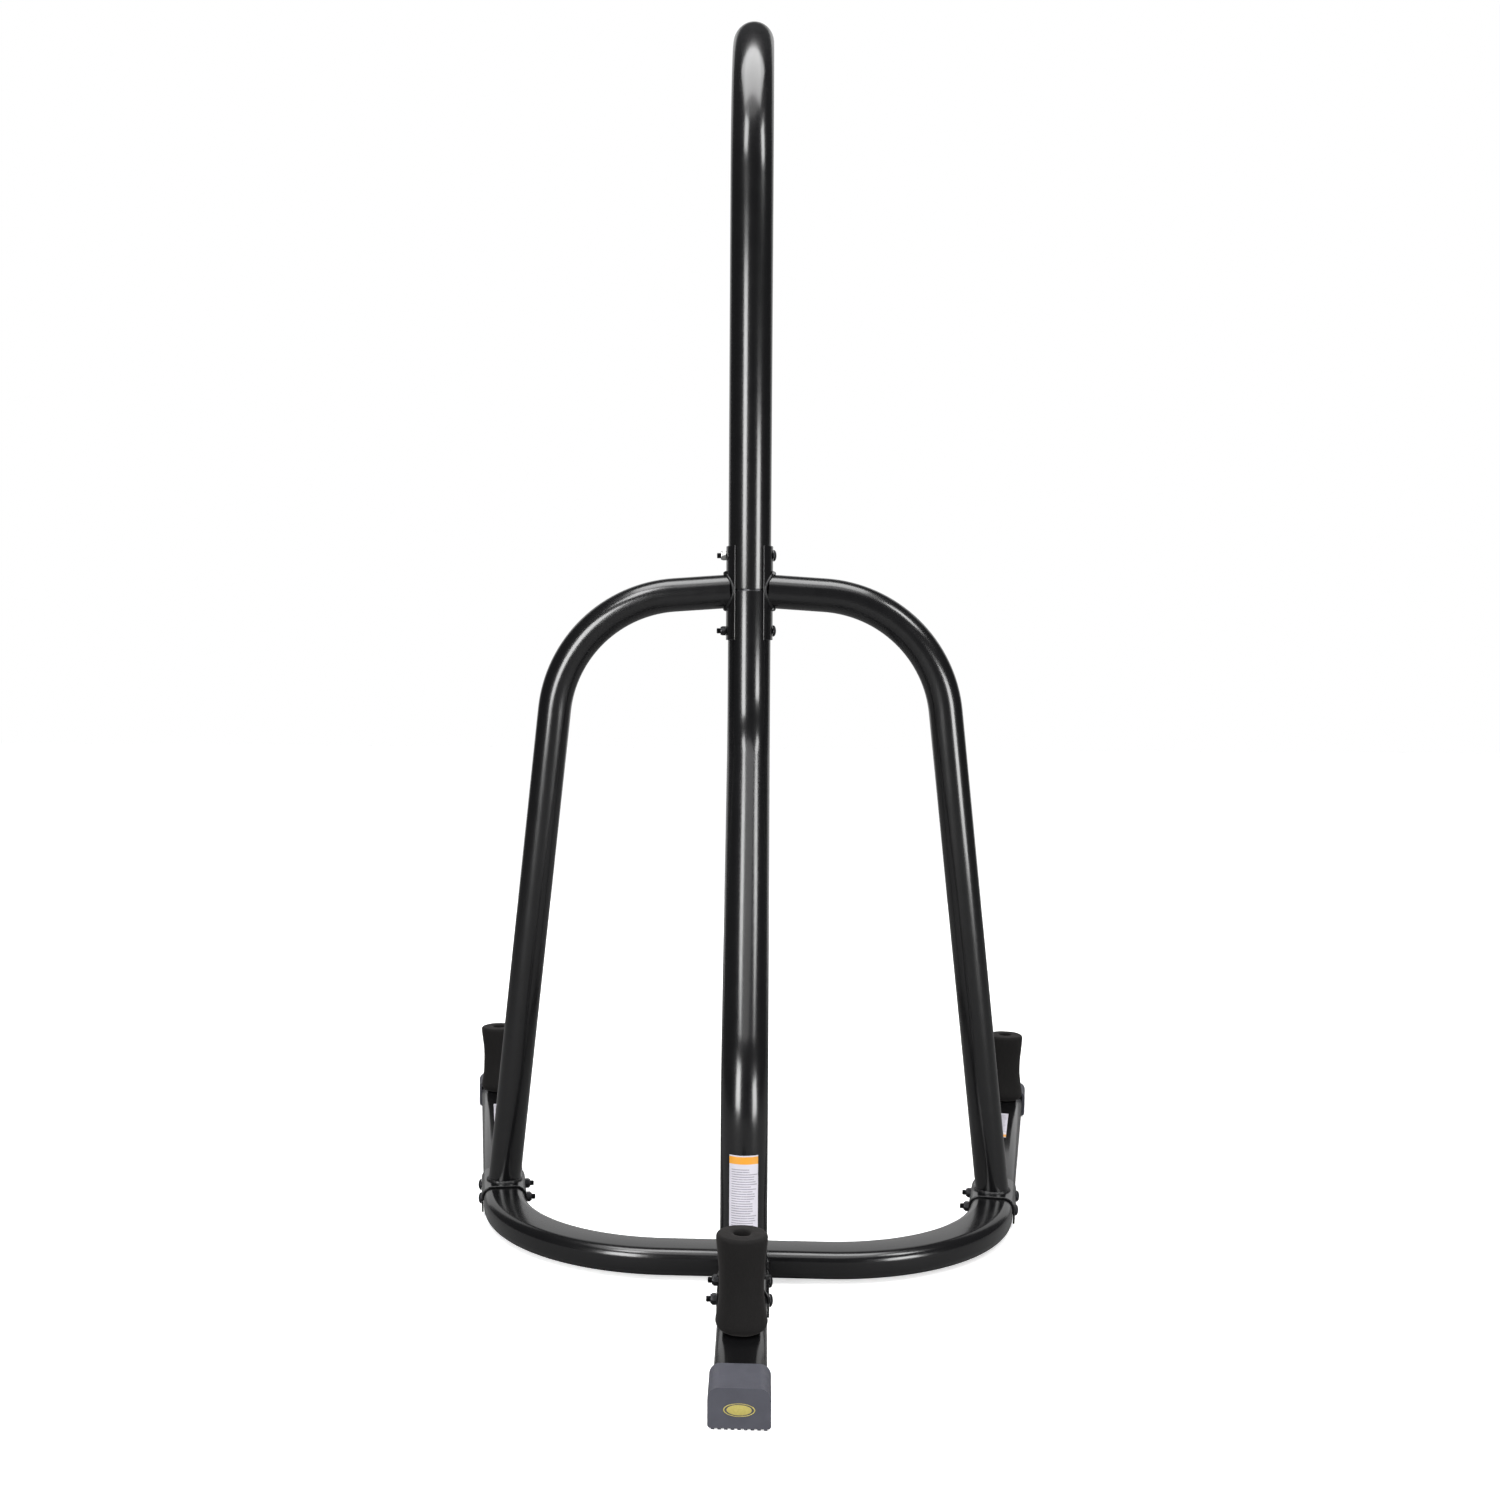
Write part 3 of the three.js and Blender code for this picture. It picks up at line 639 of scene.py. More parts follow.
def zinc(name, colour, rough, spots=0.35):
    """Plated steel: faint crystalline patches, drawn scratches and stained low spots."""
    f = Finish(name)
    patches = f.cells(420.0)
    stain = f.noise(160.0, 5.0, 0.6)
    scratch_place = f.add("ShaderNodeMapping")
    scratch_place.inputs["Scale"].default_value = (1.0, 1.0, 14.0)
    f.link(f.place, scratch_place.inputs["Vector"])
    scratches = f.noise(900.0, 2.0, 0.5, scratch_place.outputs["Vector"])
    tone = f.tone(stain, colour, 1 - spots, 1.25, (0.25, 0.6, 0.85))
    base = f.mix(patches, tone, shade(colour, 0.85))
    gloss = f.grey(scratches, rough - 0.05, rough + 0.14)
    return f.feed(Base_Color=base, Roughness=gloss, Metallic=0.92,
                  Normal=f.bump(scratches, 0.00006, 0.35))


def foam_skin():
    """Closed-cell foam: a matte skin of tiny cells with soft dents and a faint sheen."""
    colour = tuple(settings().stand_finishes.foam)
    f = Finish("foam_black")
    cells = f.cells(1100.0)
    coarse = f.cells(430.0)
    dents = f.noise(55.0, 4.0, 0.55)
    fibre = f.noise(2400.0, 2.0, 0.6)
    tone = f.tone(dents, colour, 0.78, 1.45, (0.25, 0.55, 0.85))
    base = f.mix(cells, shade(colour, 0.7), tone)
    gloss = f.grey(fibre, 0.86, 0.97, (0.3, 0.7))
    relief = f.bump(dents, 0.0008, 0.5)
    relief = f.bump(coarse, 0.0003, 0.35, relief)
    relief = f.bump(cells, 0.00018, 0.55, relief)
    return f.feed(Base_Color=base, Roughness=gloss, Normal=relief, Specular_IOR_Level=0.25,
                  Sheen_Weight=0.06, Sheen_Roughness=0.5, Sheen_Tint=(0.75, 0.70, 0.68))


def cap_rubber(name="cap_rubber_grey", colour=None, rough=0.52):
    """Moulded rubber: a fine stippled grain, scuffs and paler rubbed patches."""
    colour = colour or tuple(settings().stand_finishes.rubber)
    f = Finish(name)
    stipple = f.cells(1300.0)
    scuff = f.noise(70.0, 6.0, 0.65)
    broad = f.noise(18.0, 3.0, 0.5)
    tone = f.tone(scuff, colour, 0.82, 1.28, (0.28, 0.55, 0.82))
    base = f.mix(broad, tone, shade(colour, 0.92))
    gloss = f.grey(scuff, rough - 0.06, rough + 0.16)
    relief = f.bump(scuff, 0.0003, 0.2)
    relief = f.bump(stipple, 0.00012, 0.4, relief)
    return f.feed(Base_Color=base, Roughness=gloss, Normal=relief, Specular_IOR_Level=0.45)


def label_print():
    """A printed label: white film, a coloured head band, and grey bars in place of any text."""
    finishes = settings().stand_finishes
    paper, band = tuple(finishes.paper), tuple(finishes.band)
    f = Finish("label_print")
    uv = f.add("ShaderNodeTexCoord").outputs["UV"]
    split = f.add("ShaderNodeSeparateXYZ")
    f.link(uv, split.inputs["Vector"])
    across, along = split.outputs["X"], split.outputs["Y"]
    rows = f.times(along, LABEL_ROWS)
    line = f.math("LESS_THAN", f.math("FRACT", rows), 0.42)
    row_seed = f.add("ShaderNodeCombineXYZ")
    f.link(f.math("FLOOR", rows), row_seed.inputs["X"])
    white = f.add("ShaderNodeTexWhiteNoise", noise_dimensions="3D")
    f.link(row_seed.outputs["Vector"], white.inputs["Vector"])
    length = f.math("ADD", f.times(white.outputs["Value"], 0.30), 0.68)
    inside = f.between(across, 0.09, length)
    words_place = f.add("ShaderNodeCombineXYZ")
    f.link(f.times(across, 46.0), words_place.inputs["X"])
    f.link(f.math("FLOOR", rows), words_place.inputs["Y"])
    words = f.noise(1.0, 1.0, 0.5, words_place.outputs["Vector"])
    ink = f.times(f.times(line, inside), f.math("GREATER_THAN", words, 0.36))
    ink = f.times(f.times(ink, f.between(along, 0.05, 0.84)), 0.62)
    wear = f.noise(60.0, 4.0, 0.6)
    film = f.ramp(wear, [(0.3, shade(paper, 0.9)), (0.7, paper)])
    head = f.between(along, 0.895, 0.985)
    colour = f.mix(ink, film, (0.10, 0.10, 0.12))
    colour = f.mix(head, colour, band)
    gloss = f.grey(wear, 0.34, 0.46, (0.3, 0.7))
    return f.feed(Base_Color=colour, Roughness=gloss, Normal=f.bump(wear, 0.0001, 0.15))


def dull_gold():
    """The plain oval mark on the rear cap: a worn gold print."""
    f = Finish("mark_gold")
    wear = f.noise(420.0, 4.0, 0.6)
    base = f.ramp(wear, [(0.3, (0.36, 0.31, 0.085)), (0.7, (0.46, 0.39, 0.11))])
    gloss = f.grey(wear, 0.45, 0.6, (0.3, 0.7))
    return f.feed(Base_Color=base, Roughness=gloss, Metallic=0.15, Normal=f.bump(wear, 0.0001, 0.3))


FINISHES = {}


def finish(name):
    if name not in FINISHES:
        tints = settings().stand_finishes
        makers = {
            "powder": powder_coat,
            "weld": weld_coat,
            "hardware": lambda: zinc("zinc_dark", tuple(tints.hardware), 0.30),
            "bright": lambda: zinc("zinc_bright", tuple(tints.bright), 0.27, 0.25),
            "foam": foam_skin,
            "rubber": cap_rubber,
            "plug": lambda: cap_rubber("plug_plastic_black", (0.014, 0.014, 0.015), 0.42),
            "label": label_print,
            "mark": dull_gold,
        }
        FINISHES[name] = makers[name]()
    return FINISHES[name]


# ---------------------------------------------------------------- operators

class STAND_OT_mast(bpy.types.Operator):
    """Build the two mast tubes, the arm's tip plug and the sleeve's finish"""
    bl_idname = "bag_stand.mast"
    bl_label = "Mast"

    def execute(self, context):
        mast = context.scene.stand_mast
        loop = round_loop(mast.tube / 2)
        start = Vector((0, AXIS_Y, mast.seam_z + mast.seam_gap))
        arm_way = Vector((0, math.sin(mast.neck_turn), math.cos(mast.neck_turn)))
        reach = mast.neck * math.tan(mast.neck_turn / 2)
        corner = Vector((0, AXIS_Y, mast.neck_z + reach))
        tip = corner + arm_way * (reach + mast.arm)
        upper = sweep("upper_mast_tube", loop, [start, corner, tip], [mast.neck], mast.wall, 0.0007)
        dress(upper, "powder", "upper_mast")

        foot = base_middle() + FOOT_RISE
        lower = sweep("lower_mast_tube", loop, [
            (0, AXIS_Y + mast.foot_y, foot),
            (0, AXIS_Y + mast.foot_y, mast.low_z),
            (0, AXIS_Y, mast.high_z),
            (0, AXIS_Y, mast.seam_z - mast.seam_gap),
        ], [mast.bend, mast.bend], mast.wall, 0.0007)
        dress(lower, "powder", "lower_mast")

        lip = mast.tube / 2 + 0.0006
        core = mast.tube / 2 - mast.wall - 0.0006
        profile = [(0, -0.022), (core - 0.002, -0.022), (core, -0.019), (core, 0), (lip - 0.0004, 0),
                   (lip, 0.0004), (lip, 0.002)]
        plug = turned("arm_tip_plug_cap", profile + dome(lip, 0.0065, 0.002, 9), 64)
        turn = UP.rotation_difference(arm_way).to_matrix().to_4x4()
        settle(plug, Matrix.Translation(tip + arm_way * FIT) @ turn)
        dress(plug, "plug", "arm_tip_plug")

        paint(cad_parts["mast_splice_sleeve"], "hardware")
        return {"FINISHED"}


class STAND_OT_braces(bpy.types.Operator):
    """Build the braces, the curved plates on the mast and their weld beads"""
    bl_idname = "bag_stand.braces"
    bl_label = "Braces"

    def execute(self, context):
        mast, brace, base = context.scene.stand_mast, context.scene.stand_brace, context.scene.stand_base
        inner = mast.tube / 2 + FIT
        outer = inner + brace.plate
        for word, side in HANDS:
            plate = arc_strip(f"{word}_plate_shell", inner, brace.plate_arc, (0, AXIS_Y),
                              brace.axis_z - brace.plate_h / 2, brace.plate_h, brace.plate,
                              0 if side > 0 else math.pi)
            bevel(plate, 0.0007)
            dress(smooth(plate, flat=True), "powder", f"{word}_mast_plate")

            foot = leg_matrix(side, base.brace_at).translation
            foot.z = base_middle() + FOOT_RISE
            tube = sweep(f"{word}_brace_tube", round_loop(brace.tube / 2), [
                (side * (outer - 0.006), AXIS_Y, brace.root_z - ROOT_DROP),
                (side * brace.knee_x, AXIS_Y, brace.knee_z),
                foot,
            ], [brace.bend], brace.wall)
            dress(tube, "powder", f"{word}_brace")

            ring = []
            radius = brace.tube / 2 + 2 * FIT
            for angle in circle(96):
                across = radius * math.cos(angle)
                ring.append((side * math.sqrt(max(outer ** 2 - across ** 2, 0)), AXIS_Y + across,
                             brace.root_z - ROOT_DROP + radius * math.sin(angle)))
            weld = bead(f"{word}_plate_weld", ring, 0.0024, side)
            dress(weld, "weld")
            self.gussets(word, side, outer, brace)
        return {"FINISHED"}

    def gussets(self, word, side, outer, brace):
        """Small fillets of weld above and below the brace."""
        for level, name in ((1, "top"), (-1, "low")):
            z = brace.root_z - ROOT_DROP + level * (brace.tube / 2 + 0.0012)
            points = []
            for step in range(9):
                across = (step - 4) / 4 * 0.010
                points.append((side * (math.sqrt(outer ** 2 - across ** 2) + 0.0014), AXIS_Y + across, z))
            weld = bead(f"{word}_plate_fillet_{name}", points, 0.0030, level, closed=False)
            dress(weld, "weld")


class STAND_OT_base(bpy.types.Operator):
    """Build the crossbar, the legs, the rear stub and leg, and the saddles over them"""
    bl_idname = "bag_stand.base"
    bl_label = "Base"

    def execute(self, context):
        base, brace, mast = context.scene.stand_base, context.scene.stand_brace, context.scene.stand_mast
        loop = box_loop(base.width, base.height, base.corner)
        mid = base_middle()

        def leg(side, along):
            point = leg_matrix(side, along).translation
            point.z = mid
            return point

        cross_y = AXIS_Y + base.cross_y
        cross = sweep("crossbar_tube", loop, [
            leg(-1, base.foot_at - SEAM_GAP),
            (-base.corner_x, cross_y, mid),
            (base.corner_x, cross_y, mid),
            leg(1, base.foot_at - SEAM_GAP),
        ], [base.bend, base.bend], base.wall)
        dress(cross, "powder", "base_crossbar")
        for word, side in HANDS:
            tube = sweep(f"{word}_leg_tube", loop, [
                leg(side, base.foot_at + SEAM_GAP),
                leg(side, base.end_at - CAP_FLOOR),
            ], (), base.wall, 0.0004)
            dress(tube, "powder", f"{word}_leg")

        seam = AXIS_Y + seat_y()
        stub = sweep("rear_stub_tube", loop, [
            (0, cross_y - base.width / 2 + base.corner * 0.95, mid),
            (0, seam + SEAM_GAP, mid),
        ], (), base.wall)
        dress(stub, "powder", "rear_stub")
        rear = sweep("rear_leg_tube", loop, [
            (0, seam - SEAM_GAP, mid),
            (0, AXIS_Y + base.rear_end + CAP_FLOOR, mid),
        ], (), base.wall, 0.0004)
        dress(rear, "powder", "rear_leg")

        saddle = self.saddle(base, brace)
        places = (
            ("left_foot_saddle_shell", "left_brace_foot_saddle", leg_matrix(-1, base.foot_at)),
            ("right_foot_saddle_shell", "right_brace_foot_saddle", leg_matrix(1, base.foot_at)),
            ("mast_saddle_shell", "mast_foot_saddle", rear_matrix(seat_y())),
        )
        for name, node, place in places:
            dress(smooth(twin(saddle, name, place), flat=True), "powder", node)
        discard(saddle)
        self.foot_welds(base, brace, mast)
        self.stub_weld(base, cross_y)
        return {"FINISHED"}

    def saddle(self, base, brace):
        """A pressed plate bent over the base tube: top, rounded shoulders and two skirts."""
        width, half = base.width + 2 * FIT, base.saddle / 2
        top, low = base.lift + base.height + FIT, base.lift + 0.002
        obj = block("saddle_pattern", (width, 2 * half, top - low), (0, 0, (top + low) / 2))
        round_edges(obj, lambda a, b: min(a.z, b.z) > top - 1e-5 and abs(a.y - b.y) > half,
                    base.corner + FIT)
        choose(obj, "FACE", lambda face: abs(face.normal.y) > 0.9 or face.normal.z < -0.9)
        bpy.ops.mesh.delete(type="FACE")
        clear()
        modify(obj, "SOLIDIFY", thickness=brace.plate, offset=1)
        return bevel(obj, 0.0008)

    def shoulder(self, base, brace, x):
        """Height of a saddle's outside at a distance from its middle."""
        skin = FIT + brace.plate
        radius, top = base.corner + skin, base.lift + base.height + skin
        out = max(0.0, abs(x) - (saddle_reach() - radius))
        return top - radius + math.sqrt(max(radius ** 2 - out ** 2, 0))

    def foot_welds(self, base, brace, mast):
        """Beads where the braces and the mast meet their saddles."""
        gap = 0.0005
        for word, side in HANDS:
            place = leg_matrix(side, base.brace_at)
            foot = place.translation.copy()
            foot.z = base_middle() + FOOT_RISE
            way = (Vector((side * brace.knee_x, AXIS_Y, brace.knee_z)) - foot).normalized()
            to_leg = place.inverted()
            local_foot = to_leg @ foot
            local_way = to_leg.to_3x3() @ way
            ring = []
            radius = brace.tube / 2 + gap
            for angle in circle(90):
                x = local_foot.x + radius * math.cos(angle)
                y = local_foot.y + radius * math.sin(angle)
                z = self.shoulder(base, brace, x)
                drift = (z - local_foot.z) / local_way.z
                x += local_way.x * drift
                ring.append(place @ Vector((x, y + local_way.y * drift, self.shoulder(base, brace, x))))
            dress(bead(f"{word}_foot_weld", ring, 0.0027, side + 1), "weld")
        ring = []
        radius = mast.tube / 2 + gap
        for angle in circle(110):
            x = radius * math.cos(angle)
            y = AXIS_Y + mast.foot_y + radius * math.sin(angle)
            ring.append((x, y, self.shoulder(base, brace, x)))
        dress(bead("mast_foot_weld", ring, 0.0028, 3), "weld")

    def stub_weld(self, base, cross_y):
        mid, radius = base_middle(), base.corner
        rear_face = cross_y - base.width / 2
        points = []
        half_w, half_h = base.width / 2 + 0.0004, base.height / 2
        corners = [(half_w - radius + radius * math.cos(angle), half_h - radius + radius * math.sin(angle))
                   for angle in quarter(12, 0)]
        side = [(half_w, z) for z in [(-half_h + 0.004) + k * 0.0022 for k in range(8)]]
        arc = side + corners
        outline = arc + [(x, half_h) for x in (0.012, 0.008, 0.004, 0, -0.004, -0.008, -0.012)]
        outline += [(-x, z) for x, z in reversed(arc)]
        for x, z in outline:
            over = max(0.0, abs(z) - (half_h - radius))
            depth = radius - math.sqrt(max(radius ** 2 - over ** 2, 0))
            points.append((x, rear_face + depth - 0.0006, mid + z))
        dress(bead("stub_weld", points, 0.0030, 1.5, closed=False), "weld")


class STAND_OT_fasteners(bpy.types.Operator):
    """Build the dome-headed bolts and their lock nuts"""
    bl_idname = "bag_stand.fasteners"
    bl_label = "Bolts and nuts"

    def execute(self, context):
        base, brace, mast = context.scene.stand_base, context.scene.stand_brace, context.scene.stand_mast
        mid = base_middle()
        plate_reach = mast.tube / 2 + FIT + brace.plate
        sets = []
        bolt_rise = 0.053
        for word, rise in (("upper", bolt_rise), ("lower", -bolt_rise)):
            place = Matrix.Translation((0, AXIS_Y, brace.axis_z + rise))
            sets.append((f"mast_{{}}_{word}", plate_reach, place))
        for word, offset in (("front", base.pitch / 2), ("rear", -base.pitch / 2)):
            place = Matrix.Translation((0, AXIS_Y + seat_y() + offset, mid))
            sets.append((f"mast_foot_{{}}_{word}", saddle_reach(), place))
            for hand, side in HANDS:
                place = leg_matrix(side, base.foot_at + offset) @ Matrix.Translation((0, 0, mid))
                if side < 0:
                    place = place @ Matrix.Rotation(math.pi, 4, "Z")
                sets.append((f"{hand}_brace_{{}}_{word}", saddle_reach(), place))
        patterns = {}
        for pattern, reach, place in sets:
            if reach not in patterns:
                patterns[reach] = (self.bolt(reach), self.nut(reach))
            for kind, source in zip(("bolt", "nut"), patterns[reach]):
                node = pattern.format(kind)
                piece = twin(source, node + "_fine", place)
                look = "bright" if node == "mast_nut_upper" else "hardware"
                dress(piece, look, node)
        for pair in patterns.values():
            discard(*pair)
        return {"FINISHED"}

    def bolt(self, reach):
        shank, head = 0.004, 0.008
        tip = -reach - 0.013
        profile = [(0, tip), (shank - 0.0009, tip), (shank - 0.0002, tip + 0.0007)]
        z = tip + 0.0007
        for _turn in range(6):
            profile.append((shank - 0.0006, z + 0.0006))
            profile.append((shank, z + 0.0012))
            z += 0.00125
        profile += [(shank, reach + 0.0002), (head - 0.0003, reach + 0.0002), (head, reach + 0.0005),
                    (head, reach + 0.0010), *dome(head, 0.0038, reach + 0.0010, 8)]
        obj = turned("bolt_pattern", profile, 32)
        return settle(obj, Matrix.Rotation(math.pi / 2, 4, "Y"))

    def nut(self, reach):
        flat = 0.013 / math.sqrt(3)
        bpy.ops.mesh.primitive_cylinder_add(vertices=6, radius=flat, depth=0.0054, location=(0, 0, 0.0027))
        hexagon = settle(named("nut_hexagon"))
        bevel(hexagon, 0.0006, 40)
        collar = turned("nut_collar", [(0.0043, 0.0050), (0.0060, 0.0050), (0.0060, 0.0064),
                                       (0.0054, 0.0073), (0.0046, 0.0073), (0.0043, 0.0069),
                                       (0.0043, 0.0050)], 32)
        washer = turned("nut_face", [(0.0043, -0.0001), (0.0066, -0.0001), (0.0066, 0.0005),
                                     (0.0043, 0.0006), (0.0043, -0.0001)], 32)
        obj = fuse("nut_pattern", smooth(hexagon, 35, flat=True), collar, washer)
        turn = Matrix.Translation((-reach - FIT, 0, 0)) @ Matrix.Rotation(-math.pi / 2, 4, "Y")
        return settle(obj, turn)


class STAND_OT_pegs(bpy.types.Operator):
    """Build the weight pegs and the padded foam sleeves over them"""
    bl_idname = "bag_stand.pegs"
    bl_label = "Pegs and foam"

    def execute(self, context):
        base = context.scene.stand_base
        top = base.lift + base.height
        peg, sleeve = self.peg(top), self.sleeve(top, context.scene.stand_foam)
        places = three_legs(base.peg_at, base.rear_peg)
        for index, (word, place) in enumerate(places):
            dress(twin(peg, f"{word}_peg_tube", place), "powder", f"{word}_weight_peg")
            foam = twin(sleeve, f"{word}_foam_tube", place @ Matrix.Rotation(1.9 * index, 4, "Z"))
            dress(foam, "foam", f"{word}_foam_sleeve", f"{word}_sleeve")
        discard(peg, sleeve)
        return {"FINISHED"}

    def peg(self, top):
        z, height = top + FIT, 0.094
        return turned("peg_pattern", [(0.0075, z), (0.0095, z), (0.0095, z + height - 0.0012),
                                      (0.0091, z + height - 0.0003), (0.0085, z + height),
                                      (0.0079, z + height - 0.0002), (0.0075, z + height - 0.0008),
                                      (0.0075, z)], 40)

    def sleeve(self, top, foam):
        """A foam tube: flat top with a rolled edge, a pulled-in waist, and a rolled foot."""
        z, bore, ends, waist = top + 0.0006, foam.bore / 2, foam.ends / 2, foam.waist / 2
        roll, foot_roll = 0.0045, 0.0105
        profile = [(bore + 0.0006, z), (ends - foot_roll, z)]
        profile += [(ends - foot_roll + foot_roll * math.sin(angle),
                     z + foot_roll - foot_roll * math.cos(angle))
                    for angle in quarter(8)]
        low, high = z + foot_roll, z + foam.length - 0.0006 - roll
        for step in range(1, 22):
            t = step / 22
            pull = math.sin(math.pi * t ** 0.88) ** 1.3
            profile.append((ends - (ends - waist) * pull, low + (high - low) * t))
        profile += [(ends - roll + roll * math.cos(angle), high + roll * math.sin(angle))
                    for angle in quarter(8, 0)]
        crown = z + foam.length - 0.0006
        profile += [(bore + 0.0060, crown + 0.0002), (bore + 0.0022, crown), (bore + 0.0006, crown - 0.0008),
                    (bore, crown - 0.0024), (bore, z + 0.0020), (bore + 0.0006, z)]
        obj = turned("foam_pattern", profile, 72, 80)
        clouds = bpy.data.textures.new("foam_dents", "CLOUDS")
        clouds.noise_scale = 0.028
        clouds.noise_depth = 2
        modify(obj, "DISPLACE", texture=clouds, strength=0.0011, mid_level=0.62,
               texture_coords="LOCAL")
        return smooth(obj, 80)


class STAND_OT_caps(bpy.types.Operator):
    """Build the ribbed rubber foot caps"""
    bl_idname = "bag_stand.caps"
    bl_label = "Foot caps"

    def execute(self, context):
        base = context.scene.stand_base
        cap = self.cap(base)
        for word, place in three_legs(base.end_at, base.rear_end):
            dress(twin(cap, f"{word}_cap_shell", place), "rubber", f"{word}_foot_cap")
        discard(cap)
        self.mark(base)
        return {"FINISHED"}

    def cap(self, base):
        low, top = 0.0022, base.lift + base.height + CAP_WALL
        shoulder, foot = 0.0125, 0.0035
        obj = block("cap_pattern", (base.width + 2 * CAP_WALL, base.cap, top - low),
                    (0, -base.cap / 2, (top + low) / 2))
        round_edges(obj, lambda a, b: min(a.z, b.z) > top - 1e-5 and abs(a.y - b.y) > 0.01, shoulder)
        round_edges(obj, lambda a, b: max(a.z, b.z) < low + 1e-5 and abs(a.y - b.y) > 0.01, foot, 4)
        self.hollow(obj, base)
        bevel(obj, 0.0013, 55, 4)
        smooth(obj, 70, flat=True)
        ribs = []
        pitch, width, height = 0.0071, 0.0040, 0.0045
        for index in range(9):
            rib = block("rib", (width, base.cap - 0.0016, height),
                        ((index - 4) * pitch, -base.cap / 2, height / 2))
            ribs.append(smooth(bevel(rib, 0.0007), 50, flat=True))
        return fuse("cap_pattern", obj, *ribs)

    def hollow(self, obj, base):
        """Press the socket for the tube into the cap's open end."""
        choose(obj, "FACE", lambda face: face.normal.y < -0.9)
        bpy.ops.mesh.inset(thickness=0.0036, depth=0)
        extrude((0, base.cap - 0.006, 0))
        clear()

    def mark(self, base):
        """A plain raised oval inside an oval rim, on the face of the rear cap."""
        face = AXIS_Y + base.rear_end
        bpy.ops.mesh.primitive_torus_add(major_radius=0.0165, minor_radius=0.0007, major_segments=72,
                                         minor_segments=14, rotation=(math.pi / 2, 0, 0))
        rim = settle(named("mark_rim"))
        bpy.ops.mesh.primitive_cylinder_add(vertices=72, radius=0.0135, depth=0.0010,
                                            rotation=(math.pi / 2, 0, 0))
        oval = settle(named("mark_oval"))
        bevel(oval, 0.0003)
        mark = fuse("cap_mark", smooth(oval, flat=True), smooth(rim, 60))
        edit(mark)
        bpy.ops.transform.resize(value=(1.0, 0.7, 0.42), center_override=(0, 0, 0))
        bpy.ops.transform.translate(value=(0, face - 0.0001, 0.0225))
        clear()
        dress(settle(mark), "mark")


class STAND_OT_labels(bpy.types.Operator):
    """Build the mast label and the two leg labels"""
    bl_idname = "bag_stand.labels"
    bl_label = "Labels"

    def execute(self, context):
        mast, base = context.scene.stand_mast, context.scene.stand_base
        low, high = corners_of("mast_label")
        label = arc_strip("mast_label_film", mast.tube / 2 + FIT / 2, math.radians(37),
                          (0, AXIS_Y + mast.foot_y), low.z, high.z - low.z, 0.0003, -math.pi / 2)
        self.map_film(label, Matrix.Identity(4), "x", "z", 0.0186, low.z, high.z)
        dress(smooth(label), "label", "mast_label")
        for word, side in HANDS:
            place = leg_matrix(side, base.peg_at)
            film = block(f"{word}_leg_label_film", (0.021, 0.145, 1),
                         (0, -0.1725, base.lift + base.height + FIT / 2),
                         bpy.ops.mesh.primitive_plane_add, place)
            modify(film, "SOLIDIFY", thickness=0.0003, offset=1)
            modify(film, "BEVEL", width=0.003, segments=4, limit_method="ANGLE", affect="EDGES",
                   angle_limit=math.radians(80), use_clamp_overlap=True)
            self.map_film(film, place, "x", "y", 0.0105, -0.100, -0.245)
            dress(smooth(film, 30), "label", f"{word}_leg_label")
        return {"FINISHED"}

    def map_film(self, obj, place, across, along, half, start, end):
        """Lay the print on a label: across its width and along its length."""
        layer = obj.data.uv_layers.new(name="print") if not obj.data.uv_layers else obj.data.uv_layers[0]
        back = place.inverted()
        for loop in obj.data.loops:
            point = back @ obj.data.vertices[loop.vertex_index].co
            u = (getattr(point, across) + half) / (2 * half)
            v = (getattr(point, along) - start) / (end - start)
            layer.data[loop.index].uv = (u, v)


